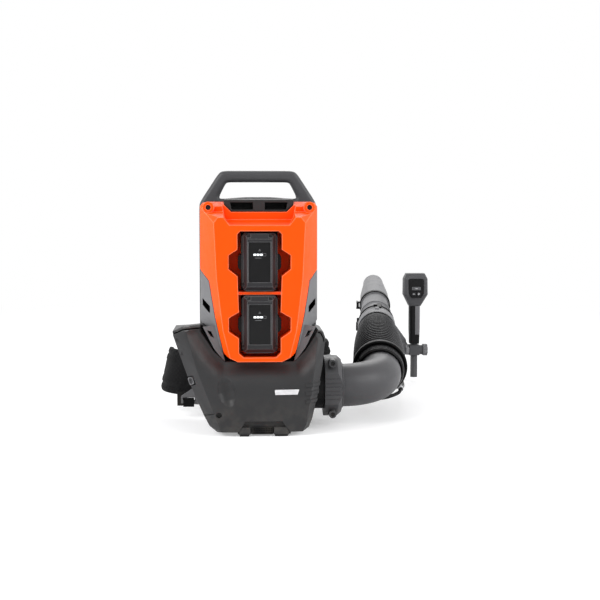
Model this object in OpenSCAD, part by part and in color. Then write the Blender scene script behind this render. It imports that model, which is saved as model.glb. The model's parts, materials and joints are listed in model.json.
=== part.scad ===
// Backpack leaf blower with two slide-in batteries, a swivelling blow tube and a harness.
// X is to the right seen from the battery side, Y points to the wearer, Z is up.
// The origin lies on the floor, in the middle of the base.

/* [Upper body] */
// Distance from the origin to the front face of the battery cover
front_y = 130; // [125:1:140]
// Half the width of the upper body across its side walls
body_half = 123; // [121:1:130]
// Height of the cover's top edge above the battery pocket
crown = 60; // [56:1:66]
// Half the width of the flat front face at its top
face_half_top = 93; // [86:1:98]
// Half the width of the flat front face at its bottom
face_half_low = 61; // [58:1:66]
// Height of the lower edge of the battery cover
cover_low = 153; // [149:1:157]
// Wall of the moulded shells
wall = 2.6; // [2:0.1:3.4]
// Distance from the origin to the rear edge of the battery cover
cover_back = 33; // [28:1:38]

/* [Handle frame] */
// Height of the carrying handle above the cover's top edge
handle_rise = 68; // [60:1:84]
// Half the width of the flat part of the handle
handle_half = 81; // [74:1:90]
// Thickness of the handle bar
bar = 25; // [20:1:28]
// Depth of the handle frame
frame_depth = 30; // [26:1:34]
// Place of the front face of the handle frame
frame_y = 60.3; // [60.3:0.1:64]

/* [Batteries] */
// Width of a battery
battery_w = 73; // [68:1:76]
// Height of a battery
battery_h = 118; // [112:1:121]
// Depth of a battery
battery_d = 75; // [70:1:77]
// Gap between the two batteries
battery_gap = 9; // [8:0.5:11]
// Height of a battery's side latch
latch_h = 32; // [26:1:38]
// Travel of a side latch
latch_travel = 3; // [2:0.5:4]
// Half the width of a finger recess beside the latches
recess_half = 63; // [58:1:66]

/* [Fan] */
// Radius of the impeller
fan_r = 78; // [70:1:79]
// Number of impeller blades
blades = 11; // [7:1:13]
// Radius of the motor
motor_r = 37; // [32:1:39]
// Radius of the motor shaft
shaft_r = 5; // [4:0.5:6]
// Radius of the air intake
intake_r = 56; // [48:1:60]

/* [Blow tube] */
// Outer radius of the elbow
elbow_r = 46; // [43:0.5:47]
// Radius of the elbow's centre line
elbow_bend = 96; // [90:1:102]
// Angle that the tube is lifted by
lift = 8; // [4:0.5:12]
// Angle that the tube points outwards by
splay = 5.7; // [3:0.1:8]
// Outer radius of the outlet collar
collar_r = 65; // [62:1:67]
// Radius of the bellows at the elbow
bellows_r = 61; // [59:1:64]
// Radius of the bellows at the pipe
bellows_end_r = 46; // [45:0.5:48]
// Length of the bellows
bellows_l = 340; // [320:1:360]
// Number of bellows ribs
bellows_ribs = 20; // [16:1:26]
// Radius of the pipe
pipe_r = 37; // [35:0.5:38]
// Length of the nozzle
nozzle_l = 300; // [270:1:320]
// Radius of the nozzle's mouth
mouth_r = 30; // [28:0.5:32]

/* [Control handle] */
// Width of the control head
head_w = 64; // [58:1:70]
// Height of the control head
head_h = 88; // [82:1:94]
// Depth of the control head
head_d = 44; // [38:1:50]
// Width of the grip
grip_w = 27; // [24:1:30]
// Diameter of the handle's tube
handle_tube_d = 19; // [16:1:20]
// Distance from the pipe's axis to the handle's tube
handle_reach = 104.5; // [102:0.5:110]

/* [Harness] */
// Thickness of the back pad
pad_t = 34; // [26:1:40]
// Height of the back pad
pad_h = 290; // [270:1:305]
// Thickness of the shoulder straps
strap_t = 14; // [10:1:18]
// Width of the shoulder straps
strap_w = 62; // [50:1:70]
// Height of the hip pads
hip_h = 104; // [90:1:110]

/* [Fastenings] */
// Radius of the cover and housing screw heads
screw_r = 4.6; // [4:0.1:5]
// Clearance between pieces that seat on each other
seat = 0.3; // [0.25:0.05:0.4]
// Clearance between pieces that move past each other
slip = 0.5; // [0.4:0.05:0.7]
// Radial clearance of the shaft and the pivots
run = 0.06; // [0.04:0.01:0.08]

/* [Hidden] */
$fn = 48;

// ---- places worked out from the sizes above ----

rear_y = 44;               // rear end of the side grilles
core_y = 60;               // rear end of the core housing
fan_x = -15;
fan_z = 104;
scroll_r = fan_r + 6;
scroll_front = 4 - cover_back;
scroll_back = 48;
duct_y = -10;
duct_z = 87;
duct_r = elbow_r + seat;
duct_x = fan_x + motor_r + 10;       // inner end of the outlet duct, beside the motor
collar_x = 138;
collar_l = 37;
bend_x = collar_x + collar_l + 2;
pocket_half = battery_w / 2 + 8.5;
pocket_low_half = battery_w / 2 + 6;
bay_low = cover_low + 10;
battery_pitch = battery_h + battery_gap;
battery_z = bay_low + 8 + battery_h / 2 + battery_pitch;   // centre of the upper battery
bay_top = battery_z + battery_h / 2 + 4;
body_top = bay_top + crown;
handle_top = body_top + handle_rise;
battery_face = -front_y + 3;
bay_y = battery_face + battery_d;    // bottom of the battery pocket
boss_x = body_half - 18;
boss_z = body_top - 12;
stub_r = bellows_end_r - 6;          // the pipe's end inside the bellows
pipe_start = 40 + bellows_l;
clamp_s = 110 + bellows_l;
nozzle_s = clamp_s + 230;
pipe_end = nozzle_s + 55;
sleeve_r = 45;                       // the pipe's sleeve under the hose clamp
hoop_r = sleeve_r + 2.6;
handle_s = clamp_s + 98;             // where the control handle hangs on the pipe
handle_drop = 90;
head_z = 120;              // height of the control head's lower edge above the handle's pivot
frame_back = frame_y + frame_depth;

GREY = [0.30, 0.30, 0.31];
DARK = [0.22, 0.22, 0.23];
BLACK = [0.08, 0.08, 0.09];
ORANGE = [1.0, 0.33, 0.02];
SILVER = [0.50, 0.51, 0.52];

// ---- shared shapes ----

// A flat outline in X and Z, given depth from y0 to y1
module xz(y0, y1) translate([0, y1, 0]) rotate([90, 0, 0]) linear_extrude(y1 - y0) children();

// A cylinder along Y
module rod_y(r, x, y0, y1, z) translate([x, y0, z]) rotate([-90, 0, 0]) cylinder(r = r, h = y1 - y0);

// A cylinder along X
module rod_x(r, x0, x1, y, z) translate([x0, y, z]) rotate([0, 90, 0]) cylinder(r = r, h = x1 - x0);

// A box between two corners
module block(a, b) translate(a) cube(b - a);

// The right half of an outline and its mirror image
function both(half) = concat(half, [for (i = [len(half) - 1 : -1 : 0]) [-half[i][0], half[i][1]]]);

// One module drawn at the left and at the right
module sides() {
  children();
  mirror([1, 0, 0]) children();
}

// Unit vector and cross product direction of a path's step
function unit(v) = v / norm(v);
function step(p, i) = unit(p[min(i + 1, len(p) - 1)] - p[max(i - 1, 0)]);

// Rings of a section carried along a path: the section's first axis is square to the path and to up
function ring(p, i, section, up) =
  let (t = step(p, i), a = unit(cross(t, up)), b = cross(a, t))
  [for (q = section) p[i] + q[0] * a + q[1] * b];

// A closed tube with the given section at each point of a path
module sweep(p, sections, up = [0, 0, 1]) {
  m = len(sections[0]);
  n = len(p);
  points = [for (i = [0 : n - 1]) each ring(p, i, sections[i], up)];
  sides = [for (i = [0 : n - 2], k = [0 : m - 1])
    [i * m + k, i * m + (k + 1) % m, (i + 1) * m + (k + 1) % m, (i + 1) * m + k]];
  halves = [for (s = sides) each [[s[0], s[2], s[1]], [s[0], s[3], s[2]]]];
  ends = [[for (k = [0 : m - 1]) k], [for (k = [m - 1 : -1 : 0]) (n - 1) * m + k]];
  polyhedron(points, concat(halves, ends));
}

// Section of a flat pad: an oval of the given width along the first axis and height
function oval(w, h, sides = 12) =
  [for (k = [0 : sides - 1]) let (a = 360 * (k + 0.5) / sides)
    [w / 2 * sign(cos(a)) * pow(abs(cos(a)), 0.6), h / 2 * sign(sin(a)) * pow(abs(sin(a)), 0.6)]];

// ---- upper body ----

face_outline = both([
  [face_half_top - 9, body_top - 32], [face_half_top, body_top - 43],
  [face_half_top - 5.5, cover_low + 169], [face_half_top - 18, cover_low + 65],
  [face_half_low, cover_low + 9], [face_half_low - 16, cover_low + 1]
]);
side_outline = both([
  [boss_x - 1, body_top], [body_half - 6, body_top - 2], [body_half, body_top - 10],
  [body_half, cover_low + 79], [body_half - 24, cover_low + 29], [face_half_low + 11, cover_low + 1]
]);

// The outer form of the upper body, or the same form drawn in by a wall
module upper_form(inset = 0) hull() {
  xz(-front_y + inset, -front_y + inset + 1) offset(delta = -inset) polygon(face_outline);
  xz(-cover_back - 1, rear_y) offset(delta = -inset) polygon(side_outline);
}

// Seen from the front, the part of the upper form that the cover takes
cover_outline = both([
  [76, body_top + 2], [body_half + 2, body_top + 2], [body_half + 2, cover_low + 188],
  [103, cover_low + 165], [91, cover_low + 92], [face_half_low + 12, cover_low + 13],
  [face_half_low + 4, cover_low - 1]
]);
notch_outline = both([
  [79, body_top + 6], [76, body_top - 10], [72, body_top - 33], [61, body_top - 48]
]);
notch_y = -56;             // back wall of the notch
step_y = -60;              // back wall of the steps beside it
boss_y = -67;              // front of the screw bosses

// The notch in the top of the cover, with a floor that falls to the front
module notch(grow = 0) difference() {
  xz(-front_y - 1, notch_y + grow) offset(delta = grow) polygon(notch_outline);
  translate([0, notch_y, body_top - 37.4]) rotate([8.6, 0, 0]) block([-90, -90, -40], [90, 20, -grow]);
}

// The step over the front face, in front of the screw bosses
module top_step(grow = 0) translate([0, -front_y, body_top - 31]) rotate([8, 0, 0])
  block([-150, -5, -grow], [150, front_y + step_y + grow, 60]);

// The battery pocket: one recess for both batteries with finger room beside each latch
function wing(z, half) = [[half, z + 26], [recess_half, z + 14], [recess_half, z - 14], [half, z - 28]];
pocket_outline = both(concat(
  [[pocket_half - 6, bay_top], [pocket_half, bay_top - 6]],
  wing(battery_z, pocket_half),
  wing(battery_z - battery_pitch, pocket_low_half),
  [[pocket_low_half, bay_low + 9], [pocket_low_half - 9, bay_low]]
));

module pocket_shape(grow = 0) offset(delta = grow) polygon(pocket_outline);

module battery_cover() color(ORANGE) {
  difference() {
    union() {
      intersection() {
        upper_form();
        xz(-front_y - 1, -cover_back) polygon(cover_outline);
      }
      sides() rod_y(12, boss_x, boss_y, -cover_back - 1, boss_z);
    }
    difference() {
      upper_form(wall);
      xz(-front_y - 1, bay_y) pocket_shape(wall);
      notch(wall);
      top_step(wall);
      sides() rod_y(12, boss_x, step_y, -cover_back, boss_z);
    }
    xz(-front_y - 1, bay_y + 20) pocket_shape();
    notch();
    difference() {
      top_step();
      sides() rod_y(12, boss_x, boss_y, -cover_back - 1, boss_z);
    }
    // room for the vent panel
    xz(notch_y - 1, -cover_back + 1)
      polygon(both([[74, body_top + 4], [72, body_top - 7], [58, body_top - 21]]));
    // bores of the screw bosses
    sides() {
      rod_y(screw_r + 0.9, boss_x, boss_y - 1, boss_y + 7, boss_z);
      rod_y(2.6, boss_x, boss_y + 6, -cover_back + 1, boss_z);
    }
  }
  // the collar in the pocket that guides the batteries
  xz(-70, -66) difference() {
    pocket_shape(0.5);
    translate([-battery_w / 2 - 1.6, bay_low + 6.4]) square([battery_w + 3.2, bay_top - bay_low - 8.8]);
  }
  // the bridge between the batteries
  bridge_z = battery_z - battery_pitch / 2;
  block([-pocket_half - 1, -front_y + 14, bridge_z - 3], [pocket_half + 1, bay_y, bridge_z + 3]);
}

module battery_bay() color(BLACK) difference() {
  union() {
    block([-58, bay_y + seat, bay_low - 2], [58, bay_y + 11, bay_top + 2]);
    // guide rails and terminal housings that the batteries slide onto
    for (z = [battery_z, battery_z - battery_pitch]) {
      block([-20, -front_y + 66, z - 34], [20, bay_y + 1, z + 34]);
      sides() block([24, -front_y + 40, z - 46], [28, bay_y + 1, z - 42]);
    }
  }
  for (z = [battery_z, battery_z - battery_pitch], x = [-12, -4, 4, 12])
    block([x - 1.2, -front_y + 62, z - 26], [x + 1.2, bay_y, z + 26]);
}

// The panel between the bosses, drawn in by a wall
module vent_shape(inset = 0) offset(delta = -inset) polygon(both([
  [70, body_top + 7], [73, body_top + 4], [71, body_top - 6], [57, body_top - 20]
]));

// Outline of the core behind the cover
core_outline = both([
  [boss_x - 1, body_top - 4], [body_half - wall - seat, body_top - 13],
  [body_half - wall - seat, cover_low + 83], [body_half - 30, cover_low + 37], [70, cover_low + 15]
]);

module core_housing() color(DARK) {
  difference() {
    xz(-cover_back + seat, core_y) polygon(core_outline);
    xz(-cover_back - 1, core_y - 3) offset(delta = -3) polygon(core_outline);
    // room for the top of the fan scroll and for the motor
    rod_y(scroll_r + 3 + seat, fan_x, -cover_back - 1, core_y + 1, fan_z);
    xz(-60, core_y + 1) vent_shape(-seat);
  }
  // bosses that take the cover screws
  sides() difference() {
    rod_y(10, boss_x - 3, -cover_back + seat, core_y - 2, boss_z - 3);
    rod_y(2.4, boss_x, -cover_back, -5, boss_z);
  }
  // shelf that carries the battery bay and the controller
  block([-118, bay_y + 11 + seat, 300], [118, -cover_back + 1, 304]);
  block([-118, -cover_back + 0.5, 300], [118, core_y - 2, 304]);
}

module controller_box() color(SILVER) {
  difference() {
    block([-70, -20, 304 + seat], [70, 34, 420]);
    // cooling fins
    for (x = [-62 : 8 : 62]) block([x, 18, 300], [x + 5, 35, 421]);
  }
}

// A grille under the cover's flank, with louvres
module side_grille(side) {
  outline = [
    [body_half + 2, cover_low + 187], [103.8, cover_low + 164], [91.8, cover_low + 91.6],
    [face_half_low + 13, cover_low + 12.6], [face_half_low + 11, cover_low + 1],
    [93, cover_low + 21], [body_half - 1.4, cover_low + 63], [body_half + 2, cover_low + 67]
  ];
  color(SILVER) mirror([side < 0 ? 1 : 0, 0, 0]) difference() {
    intersection() {
      upper_form();
      xz(-front_y - 1, rear_y - 1) polygon(outline);
    }
    upper_form(wall);
    // the two louvres that show from the front
    for (l = [[102, cover_low + 98], [94, cover_low + 45]])
      xz(-front_y, -20) polygon([
        [l[0], l[1] + 14], [118, l[1] + 28], [118, l[1] + 14], [l[0] + 2, l[1]], [l[0], l[1]]
      ]);
    // room for the top of the fan scroll
    rod_y(scroll_r + 3 + slip, side * fan_x, -40, rear_y + 1, fan_z);
    // slots along the side wall
    for (y = [-14 : 11 : 32])
      block([body_half - 8, y, cover_low + 91], [body_half + 3, y + 6, cover_low + 165]);
  }
}
module side_grille_left() side_grille(-1);
module side_grille_right() side_grille(1);

// ---- handle frame ----

frame_half = body_half + 5;
frame_outer = both([
  [handle_half - 6, handle_top], [handle_half + 4, handle_top - 5], [frame_half - 3, body_top + 2],
  [frame_half, body_top - 8], [frame_half, 150], [frame_half - 30, 60], [70, 22], [60, 18]
]);
// the hand opening
grip_outline = both([
  [handle_half - 15, handle_top - bar], [handle_half - 10, handle_top - bar - 4],
  [handle_half + 4, handle_top - 57], [handle_half, handle_top - 61], [30, handle_top - 57]
]);

// A plate with its outline stepped in at both faces, which rounds the bar
module soft_plate(y0, y1, round = 5) {
  for (k = [0 : 2]) let (cut = [0, 1.4, 4][k], deep = [4.5, 2, 0][k])
    xz(y0 + deep, y1 - deep) difference() {
      offset(delta = -cut) polygon(frame_outer);
      offset(delta = cut) polygon(grip_outline);
      // lightening windows behind the back pad
      for (x = [-52, 52], z = [380, 290])
        translate([x, z]) offset(r = 8 + cut, $fn = 8) square([62, 52], center = true);
      // room for the intake
      translate([fan_x, fan_z]) circle(r = intake_r + 8 + cut);
    }
}

module handle_frame() color(GREY) soft_plate(frame_y, frame_back);

module top_vent_panel() color(GREY) difference() {
  xz(-50, frame_y - seat) vent_shape();
  xz(-47, frame_y - 4) vent_shape(3);
  // two vents
  sides() xz(-52, -40) polygon([
    [12, body_top - 16.5], [12.5, body_top - 1.5], [60, body_top - 1.5], [57, body_top - 16.5]
  ]);
  // the top rises into the handle at the back and falls away at the front
  translate([0, -50, body_top + 3.5]) rotate([3, 0, 0]) block([-80, -20, 0], [80, 130, 30]);
}

// ---- lower housing ----

housing_outline = [
  [-123, 227], [-157, 224], [-179, 214], [-178, 205], [-165, 167], [-140, 96], [-116, 41],
  [-104, 18], [-88, 5], [90, 5], [102, 14], [109, 32], [120, 79], [131, 147], [137, 198],
  [133, 210], [123, 214]
];
housing_face = [
  [-123, 219], [-151, 215], [-129, 138], [-101, 67], [-79, 9], [87, 9], [95, 24],
  [108, 125], [121, 196], [118, 204]
];
// seen from the front, the edge that the upper body sinks into
bowl_outline = both([
  [body_half - 1, cover_low + 177], [body_half - 1, cover_low + 61], [94, cover_low + 19],
  [face_half_low + 10, cover_low - 2]
]);

// The housing's outline at its back, where the left lobe has fallen away
module housing_back() intersection() {
  polygon(housing_outline);
  translate([-200, 0]) square([400, 213]);
}

module lower_form(inset = 0) hull() {
  xz(-front_y + inset, -front_y + inset + 1) offset(delta = -inset) polygon(housing_face);
  xz(-104, -70) offset(delta = -inset) polygon(housing_outline);
  xz(rear_y - 1, rear_y) offset(delta = -inset) housing_back();
  xz(57 - inset, 58 - inset) offset(delta = -inset - 8) housing_back();
}

// Where the housing's two shells meet
split_y = 12;

// Seen from the front, the arch over the base's front wall
arch_outline = [[-46, 4], [-30, 31], [45, 31], [63, 4]];

// The channel under the housing that the base lies in
module base_channel(grow = 0) {
  xz(-front_y - 1, -front_y + 16 + grow) offset(delta = grow)
    polygon(concat([[-46, -2]], arch_outline, [[63, -2]]));
  block([-47 - grow, -front_y + 8, -2], [64 + grow, 61, 12 + grow]);
}

// The scoop in the left of the face, a spindle that leans to the left
module scoop(grow = 0) translate([-68, -front_y - 13, 92]) rotate([0, -14, 0]) rotate_extrude($fn = 96)
  intersection() {
    offset(delta = grow) polygon([[0, -42], [13, -32], [20, -18], [23, 0], [20, 18], [13, 32], [0, 42]]);
    translate([0, -60]) square([60, 120]);
  }

// Outer shell of the lower housing between two planes
module housing_shell(y0, y1) difference() {
  intersection() {
    lower_form();
    xz(y0, y1) square([500, 600], center = true);
  }
  difference() {
    lower_form(3);
    base_channel(3);
    scoop(3);
    rod_y(screw_r + 4, -84, -front_y, -front_y + 40, 44);
    // walls of the bowl, down to the fan
    xz(-front_y - 1, scroll_front - 6) offset(delta = 2.5) polygon(bowl_outline);
  }
  base_channel();
  scoop();
  xz(-front_y - 1, 60) polygon(bowl_outline);
  // the outlet
  rod_x(duct_r + 3 + seat, 60, 160, duct_y, duct_z);
}

module fan_housing_front() color(DARK) {
  difference() {
    housing_shell(-front_y, split_y);
    // seat of the lower left screw
    rod_y(screw_r + 1, -84, -front_y - 1, -front_y + 12, 44);
    rod_y(2.4, -84, -front_y - 1, -front_y + 34, 44);
    // grooves under the top rim
    xz(-front_y - 1, -99) {
      polygon([[-181, 206], [-157, 216.6], [-122, 219], [-122, 221.4], [-157, 219], [-181, 208.4]]);
      polygon([
        [121, 208], [127, 206], [131, 197], [132, 190], [134, 190], [133.2, 198], [128.5, 208], [121, 210.4]
      ]);
    }
    // grip recess and a moulded line on the left flank
    translate([-142, -112, 112]) rotate([0, -19.4, 0]) cube([16, 26, 20], center = true);
    translate([-106, -front_y + 10, 43]) rotate([0, -18, 0]) cube([26, 40, 1.4], center = true);
  }
  // three ribs over the right edge, in line with the collar's
  for (k = [-1 : 1]) intersection() {
    lower_form(-1.6);
    translate([0, 0, duct_z + k * 17 - 4]) linear_extrude(8)
      polygon([[94, -front_y - 2], [140, -front_y - 2], [140, -64], [108, -64], [94, -100]]);
  }
  // small tabs on the left flank
  for (t = [[-168, 196], [-158, 168]])
    translate([t[0], -104, t[1]]) rotate([0, 20, 0]) cube([9, 14, 6], center = true);
}

module fan_housing_rear() color(DARK) difference() {
  union() {
    housing_shell(split_y + seat, 60);
    // ring round the intake
    rod_y(intake_r + 6, fan_x, 52, 58, fan_z);
  }
  rod_y(intake_r, fan_x, 40, 70, fan_z);
}

module intake_grille() color(BLACK) translate([fan_x, 58 + seat, fan_z]) rotate([-90, 0, 0]) {
  for (r = [14 : 10 : intake_r]) difference() {
    cylinder(r = r + 1.6, h = 3);
    translate([0, 0, -1]) cylinder(r = r - 1.6, h = 5);
  }
  difference() {
    cylinder(r = intake_r + 5, h = 3);
    translate([0, 0, -1]) cylinder(r = intake_r - 2, h = 5);
  }
  for (a = [0 : 45 : 315]) rotate(a) translate([10, -1.5, 0]) cube([intake_r - 10, 3, 3]);
  cylinder(r = 10.5, h = 3);
}

// ---- fan ----

module fan_scroll() color(BLACK) difference() {
  union() {
    rod_y(scroll_r + 3, fan_x, scroll_front - 3, scroll_back, fan_z);
    rod_x(duct_r + 3, duct_x - 3, collar_x - seat, duct_y, duct_z);
    // seat of the motor and its bearing
    rod_y(motor_r - 4, fan_x, scroll_front - 9, scroll_front, fan_z);
  }
  rod_y(scroll_r, fan_x, scroll_front, scroll_back - 3, fan_z);
  rod_x(duct_r, duct_x, collar_x + 1, duct_y, duct_z);
  rod_y(intake_r, fan_x, scroll_front + 5, scroll_back + 1, fan_z);
  rod_y(13 + seat, fan_x, scroll_front - 10, scroll_front + 1, fan_z);
}

// One curved blade, cut from a tube whose wall is as thick as the blade
module blade() intersection() {
  difference() {
    translate([0, -fan_r * 0.62]) circle(r = fan_r * 0.62 + 1.1, $fn = 64);
    translate([0, -fan_r * 0.62]) circle(r = fan_r * 0.62 - 1.1, $fn = 64);
  }
  translate([0, -fan_r]) square([fan_r, fan_r + 2]);
}

module impeller() color(GREY) translate([fan_x, scroll_front + 8, fan_z]) rotate([-90, 0, 0]) {
  rotate_extrude($fn = 96) polygon([
    [shaft_r, 0], [fan_r, 0], [fan_r, 3], [40, 8], [22, 24], [14, 34], [shaft_r, 34]
  ]);
  intersection() {
    for (k = [0 : blades - 1]) rotate(360 * k / blades) translate([0, 0, 1])
      linear_extrude(68) intersection() {
        blade();
        difference() {
          circle(r = fan_r - 1);
          circle(r = 27);
        }
      }
    rotate_extrude($fn = 96) polygon([[20, 0], [fan_r, 0], [fan_r, 44], [54, 62], [20, 62]]);
  }
}

module motor_rotor() color(SILVER) translate([fan_x, 0, fan_z]) rotate([-90, 0, 0]) {
  translate([0, 0, -104]) cylinder(r = shaft_r - run, h = 104 + scroll_front + 40);
  translate([0, 0, -92]) difference() {
    cylinder(r = 20, h = 38);
    translate([0, 0, -1]) cylinder(r = shaft_r - run - 1, h = 40);
  }
}

module motor_stator() color(SILVER) translate([fan_x, -98, fan_z]) rotate([-90, 0, 0]) difference() {
  length = 98 + scroll_front - 9 - seat;
  union() {
    cylinder(r = motor_r, h = length);
    for (a = [0 : 20 : 340]) rotate(a) translate([motor_r - 1, -1, 4]) cube([3, 2, length - 8]);
  }
  translate([0, 0, 3]) cylinder(r = 20 + slip, h = length);
  translate([0, 0, -1]) cylinder(r = 13 + seat, h = 6);
}

module bearings() color(SILVER) for (y = [-99, scroll_front - 9])
  translate([fan_x, y, fan_z]) rotate([-90, 0, 0]) difference() {
    cylinder(r = 13, h = 7);
    translate([0, 0, -1]) cylinder(r = shaft_r, h = 9);
  }

// ---- base ----

base_foot = 4;             // height of the rubber feet
feet = [[-32, -front_y + 14, 24], [44, -front_y + 14, 31], [-84, 80, 30], [84, 80, 30]];

module base_frame() color(DARK) {
  low = base_foot + seat;
  difference() {
    union() {
      block([-46, -front_y + 9, low], [63, 97, 11.6]);
      block([-99, 60.5, low], [99, 97, 14]);
      // front wall in the housing's arch, with a tab over each front foot
      xz(-front_y + 10, -front_y + 14) offset(delta = -seat) polygon(arch_outline);
      intersection() {
        xz(-front_y, -front_y + 14) offset(delta = -seat) polygon(arch_outline);
        for (f = [feet[0], feet[1]])
          block([f[0] - f[2] / 2, -front_y + 1, low], [f[0] + f[2] / 2, -front_y + 14, 19]);
      }
      // skid under the middle
      block([-14, -14, 0], [14, 14, 6]);
    }
    block([-30, -90, 0], [46, -30, 20]);
    block([-30, 22, 0], [46, 52, 20]);
  }
}

module rubber_feet() color(BLACK) for (f = feet)
  translate([f[0], f[1], 0]) block([-f[2] / 2 + 2, -12, 0], [f[2] / 2 - 2, 12, base_foot]);

module drain_grille() color(BLACK) difference() {
  block([-16, -front_y + 4, base_foot + seat], [26, -front_y + 9 - seat, 19]);
  for (x = [-13.5 : 5 : 21.5], z = [6.2 : 4 : 14.2])
    block([x, -front_y + 3, z], [x + 3.4, -front_y + 7, z + 2.7]);
}

// ---- screws ----

// A pan head with a hexagon socket and its shank, pointing to +Y
module screw(l = 12) rotate([-90, 0, 0]) difference() {
  union() {
    cylinder(r = screw_r, h = 3.2);
    cylinder(r = 2, h = l);
  }
  translate([0, 0, -1]) cylinder(r = 2.2, h = 3, $fn = 6);
}

module cover_screws() color(BLACK) sides() translate([boss_x, boss_y + 7 - 3.5, boss_z]) screw(42);

module housing_screws() color(BLACK) {
  translate([-84, -front_y + 12 - 3.4, 44]) screw(18);
  for (z = [-1, 1]) translate([collar_x + 16, duct_y - 55.4, duct_z + z * 54]) screw(10);
}

// ---- batteries ----

module battery(z) color(BLACK) translate([0, battery_face, z]) difference() {
  union() {
    hull() {
      xz(0, 1) square([battery_w - 22, battery_h - 18], center = true);
      xz(7, 8) square([battery_w - 8, battery_h - 4], center = true);
    }
    xz(8 - seat, battery_d) polygon(both([
      [battery_w / 2 - 6, battery_h / 2], [battery_w / 2, battery_h / 2 - 7],
      [battery_w / 2, -battery_h / 2 + 10], [battery_w / 2 - 9, -battery_h / 2]
    ]));
    // lip over the top of the face
    block([-23, -0.5, battery_h / 2 - 12], [23, 10, battery_h / 2 - 1]);
    // ridges beside the charge panel
    sides() block([22.6, -0.9, -41], [24.8, 4, 41]);
  }
  // seat of the charge panel
  block([-22, -1, -41], [22, 1.6, 41]);
  // seats of the latches
  sides() block([battery_w / 2 - 7, 12, -latch_h / 2 - slip], [battery_w / 2 + 1, 52, latch_h / 2 + slip]);
  // room for the terminal housing and the guide rails
  block([-20 - slip, battery_d - 12, -34 - slip], [20 + slip, battery_d + 1, 34 + slip]);
  sides() block([24 - slip, 30, -46 - slip], [28 + slip, battery_d + 1, -42 + slip]);
  // notches at the corners of the face
  sides() {
    block([18, -1, battery_h / 2 - 9], [26, 5, battery_h / 2]);
    block([31, 2, -48], [37, 12, -41]);
  }
}
module battery_upper() battery(battery_z);
module battery_lower() battery(battery_z - battery_pitch);

module charge_panel(z) color(DARK) translate([0, battery_face, z]) {
  block([-21.5, 0.2, -39.5], [21.5, 1.6 - 0.05, 39.5]);
  // four charge segments and the key under them
  for (k = [-1.5 : 1 : 1.5]) block([k * 6.6 - 2.6, -0.1, 16], [k * 6.6 + 2.6, 0.4, 19]);
  rod_y(2.2, 0, -0.1, 0.4, 26);
}
module charge_panel_upper() charge_panel(battery_z);
module charge_panel_lower() charge_panel(battery_z - battery_pitch);

// A latch bows outwards from the battery's flank and has three grip ribs
module latch(side, z) color(DARK) translate([0, battery_face, z]) mirror([side < 0 ? 1 : 0, 0, 0]) {
  x = battery_w / 2;
  xz(12 + slip, 51.5) polygon([
    [x - 7 + latch_travel + 0.4, -latch_h / 2], [x + 4, -latch_h / 2], [x + 7.5, -latch_h / 2 + 6],
    [x + 7.5, latch_h / 2 - 6], [x + 4, latch_h / 2], [x - 7 + latch_travel + 0.4, latch_h / 2]
  ]);
  for (k = [-1 : 1]) block([x + 7, 16, k * 6 - 1], [x + 8.2, 46, k * 6 + 1]);
}
module latch_upper_left() latch(-1, battery_z);
module latch_upper_right() latch(1, battery_z);
module latch_lower_left() latch(-1, battery_z - battery_pitch);
module latch_lower_right() latch(1, battery_z - battery_pitch);

// ---- outlet and elbow ----

module outlet_collar() color(DARK) difference() {
  union() {
    intersection() {
      translate([collar_x, duct_y, duct_z]) rotate([0, 90, 0]) rotate_extrude($fn = 96) polygon([
        [duct_r, 0], [collar_r, 0], [collar_r, collar_l - 9], [collar_r - 8, collar_l], [duct_r, collar_l]
      ]);
      block([collar_x - 1, duct_y - 56, duct_z - 80], [collar_x + collar_l + 1, duct_y + 56, duct_z + 80]);
    }
    // ribs in line with the housing's
    for (k = [-1 : 1])
      translate([collar_x, duct_y - 58, duct_z + k * 17 - 4]) cube([collar_l - 4, 8, 8]);
    // bosses of the clamping screws
    for (z = [-1, 1]) rod_y(8, collar_x + 16, duct_y - 57, duct_y + 40, duct_z + z * 54);
  }
  rod_x(duct_r, collar_x - 1, collar_x + collar_l + 1, duct_y, duct_z);
  for (z = [-1, 1]) {
    rod_y(screw_r + 0.4, collar_x + 16, duct_y - 60, duct_y - 52, duct_z + z * 54);
    rod_y(2.3, collar_x + 16, duct_y - 60, duct_y - 40, duct_z + z * 54);
  }
}

// The elbow turns about the collar's axis: everything on the tube is drawn in this frame
module lifted() translate([0, duct_y, duct_z]) rotate([lift, 0, 0]) children();

turn = 90 - splay;
end_x = bend_x + elbow_bend * sin(turn);
end_y = elbow_bend * (1 - cos(turn));

// Along the tube: Z runs out along its axis, from the end of the elbow's bend, and -Y is up
module on_tube(s = 0) lifted() translate([end_x, end_y, 0]) rotate([0, 0, -splay]) rotate([-90, 0, 0])
  translate([0, 0, s]) children();

elbow_wall = 3;
end_step = 0.4;            // the elbow's straight end is a little wider than its bend

module elbow_turn(r) translate([bend_x, elbow_bend, 0]) rotate([0, 0, -90])
  rotate_extrude(angle = turn, $fn = 96) translate([elbow_bend, 0]) circle(r = r);

module elbow_end(r, s0, s1) translate([end_x, end_y, 0]) rotate([0, 0, -splay]) rotate([-90, 0, 0])
  translate([0, 0, s0]) cylinder(r = r, h = s1 - s0);

module elbow() color(GREY) lifted() difference() {
  union() {
    rod_x(elbow_r, 104, bend_x, 0, 0);
    elbow_turn(elbow_r);
    elbow_end(elbow_r + end_step, -1, 56);
    // the bead that keeps the hose on
    elbow_end(elbow_r + 1.6, 30, 33);
    // stop ring beside the collar
    rod_x(elbow_r + 3, bend_x - 2 + seat, bend_x + 2, 0, 0);
  }
  rod_x(elbow_r - elbow_wall, 103, bend_x, 0, 0);
  elbow_turn(elbow_r - elbow_wall);
  elbow_end(elbow_r - elbow_wall + end_step, -1, 57);
}

// ---- hose and pipes ----

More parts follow.
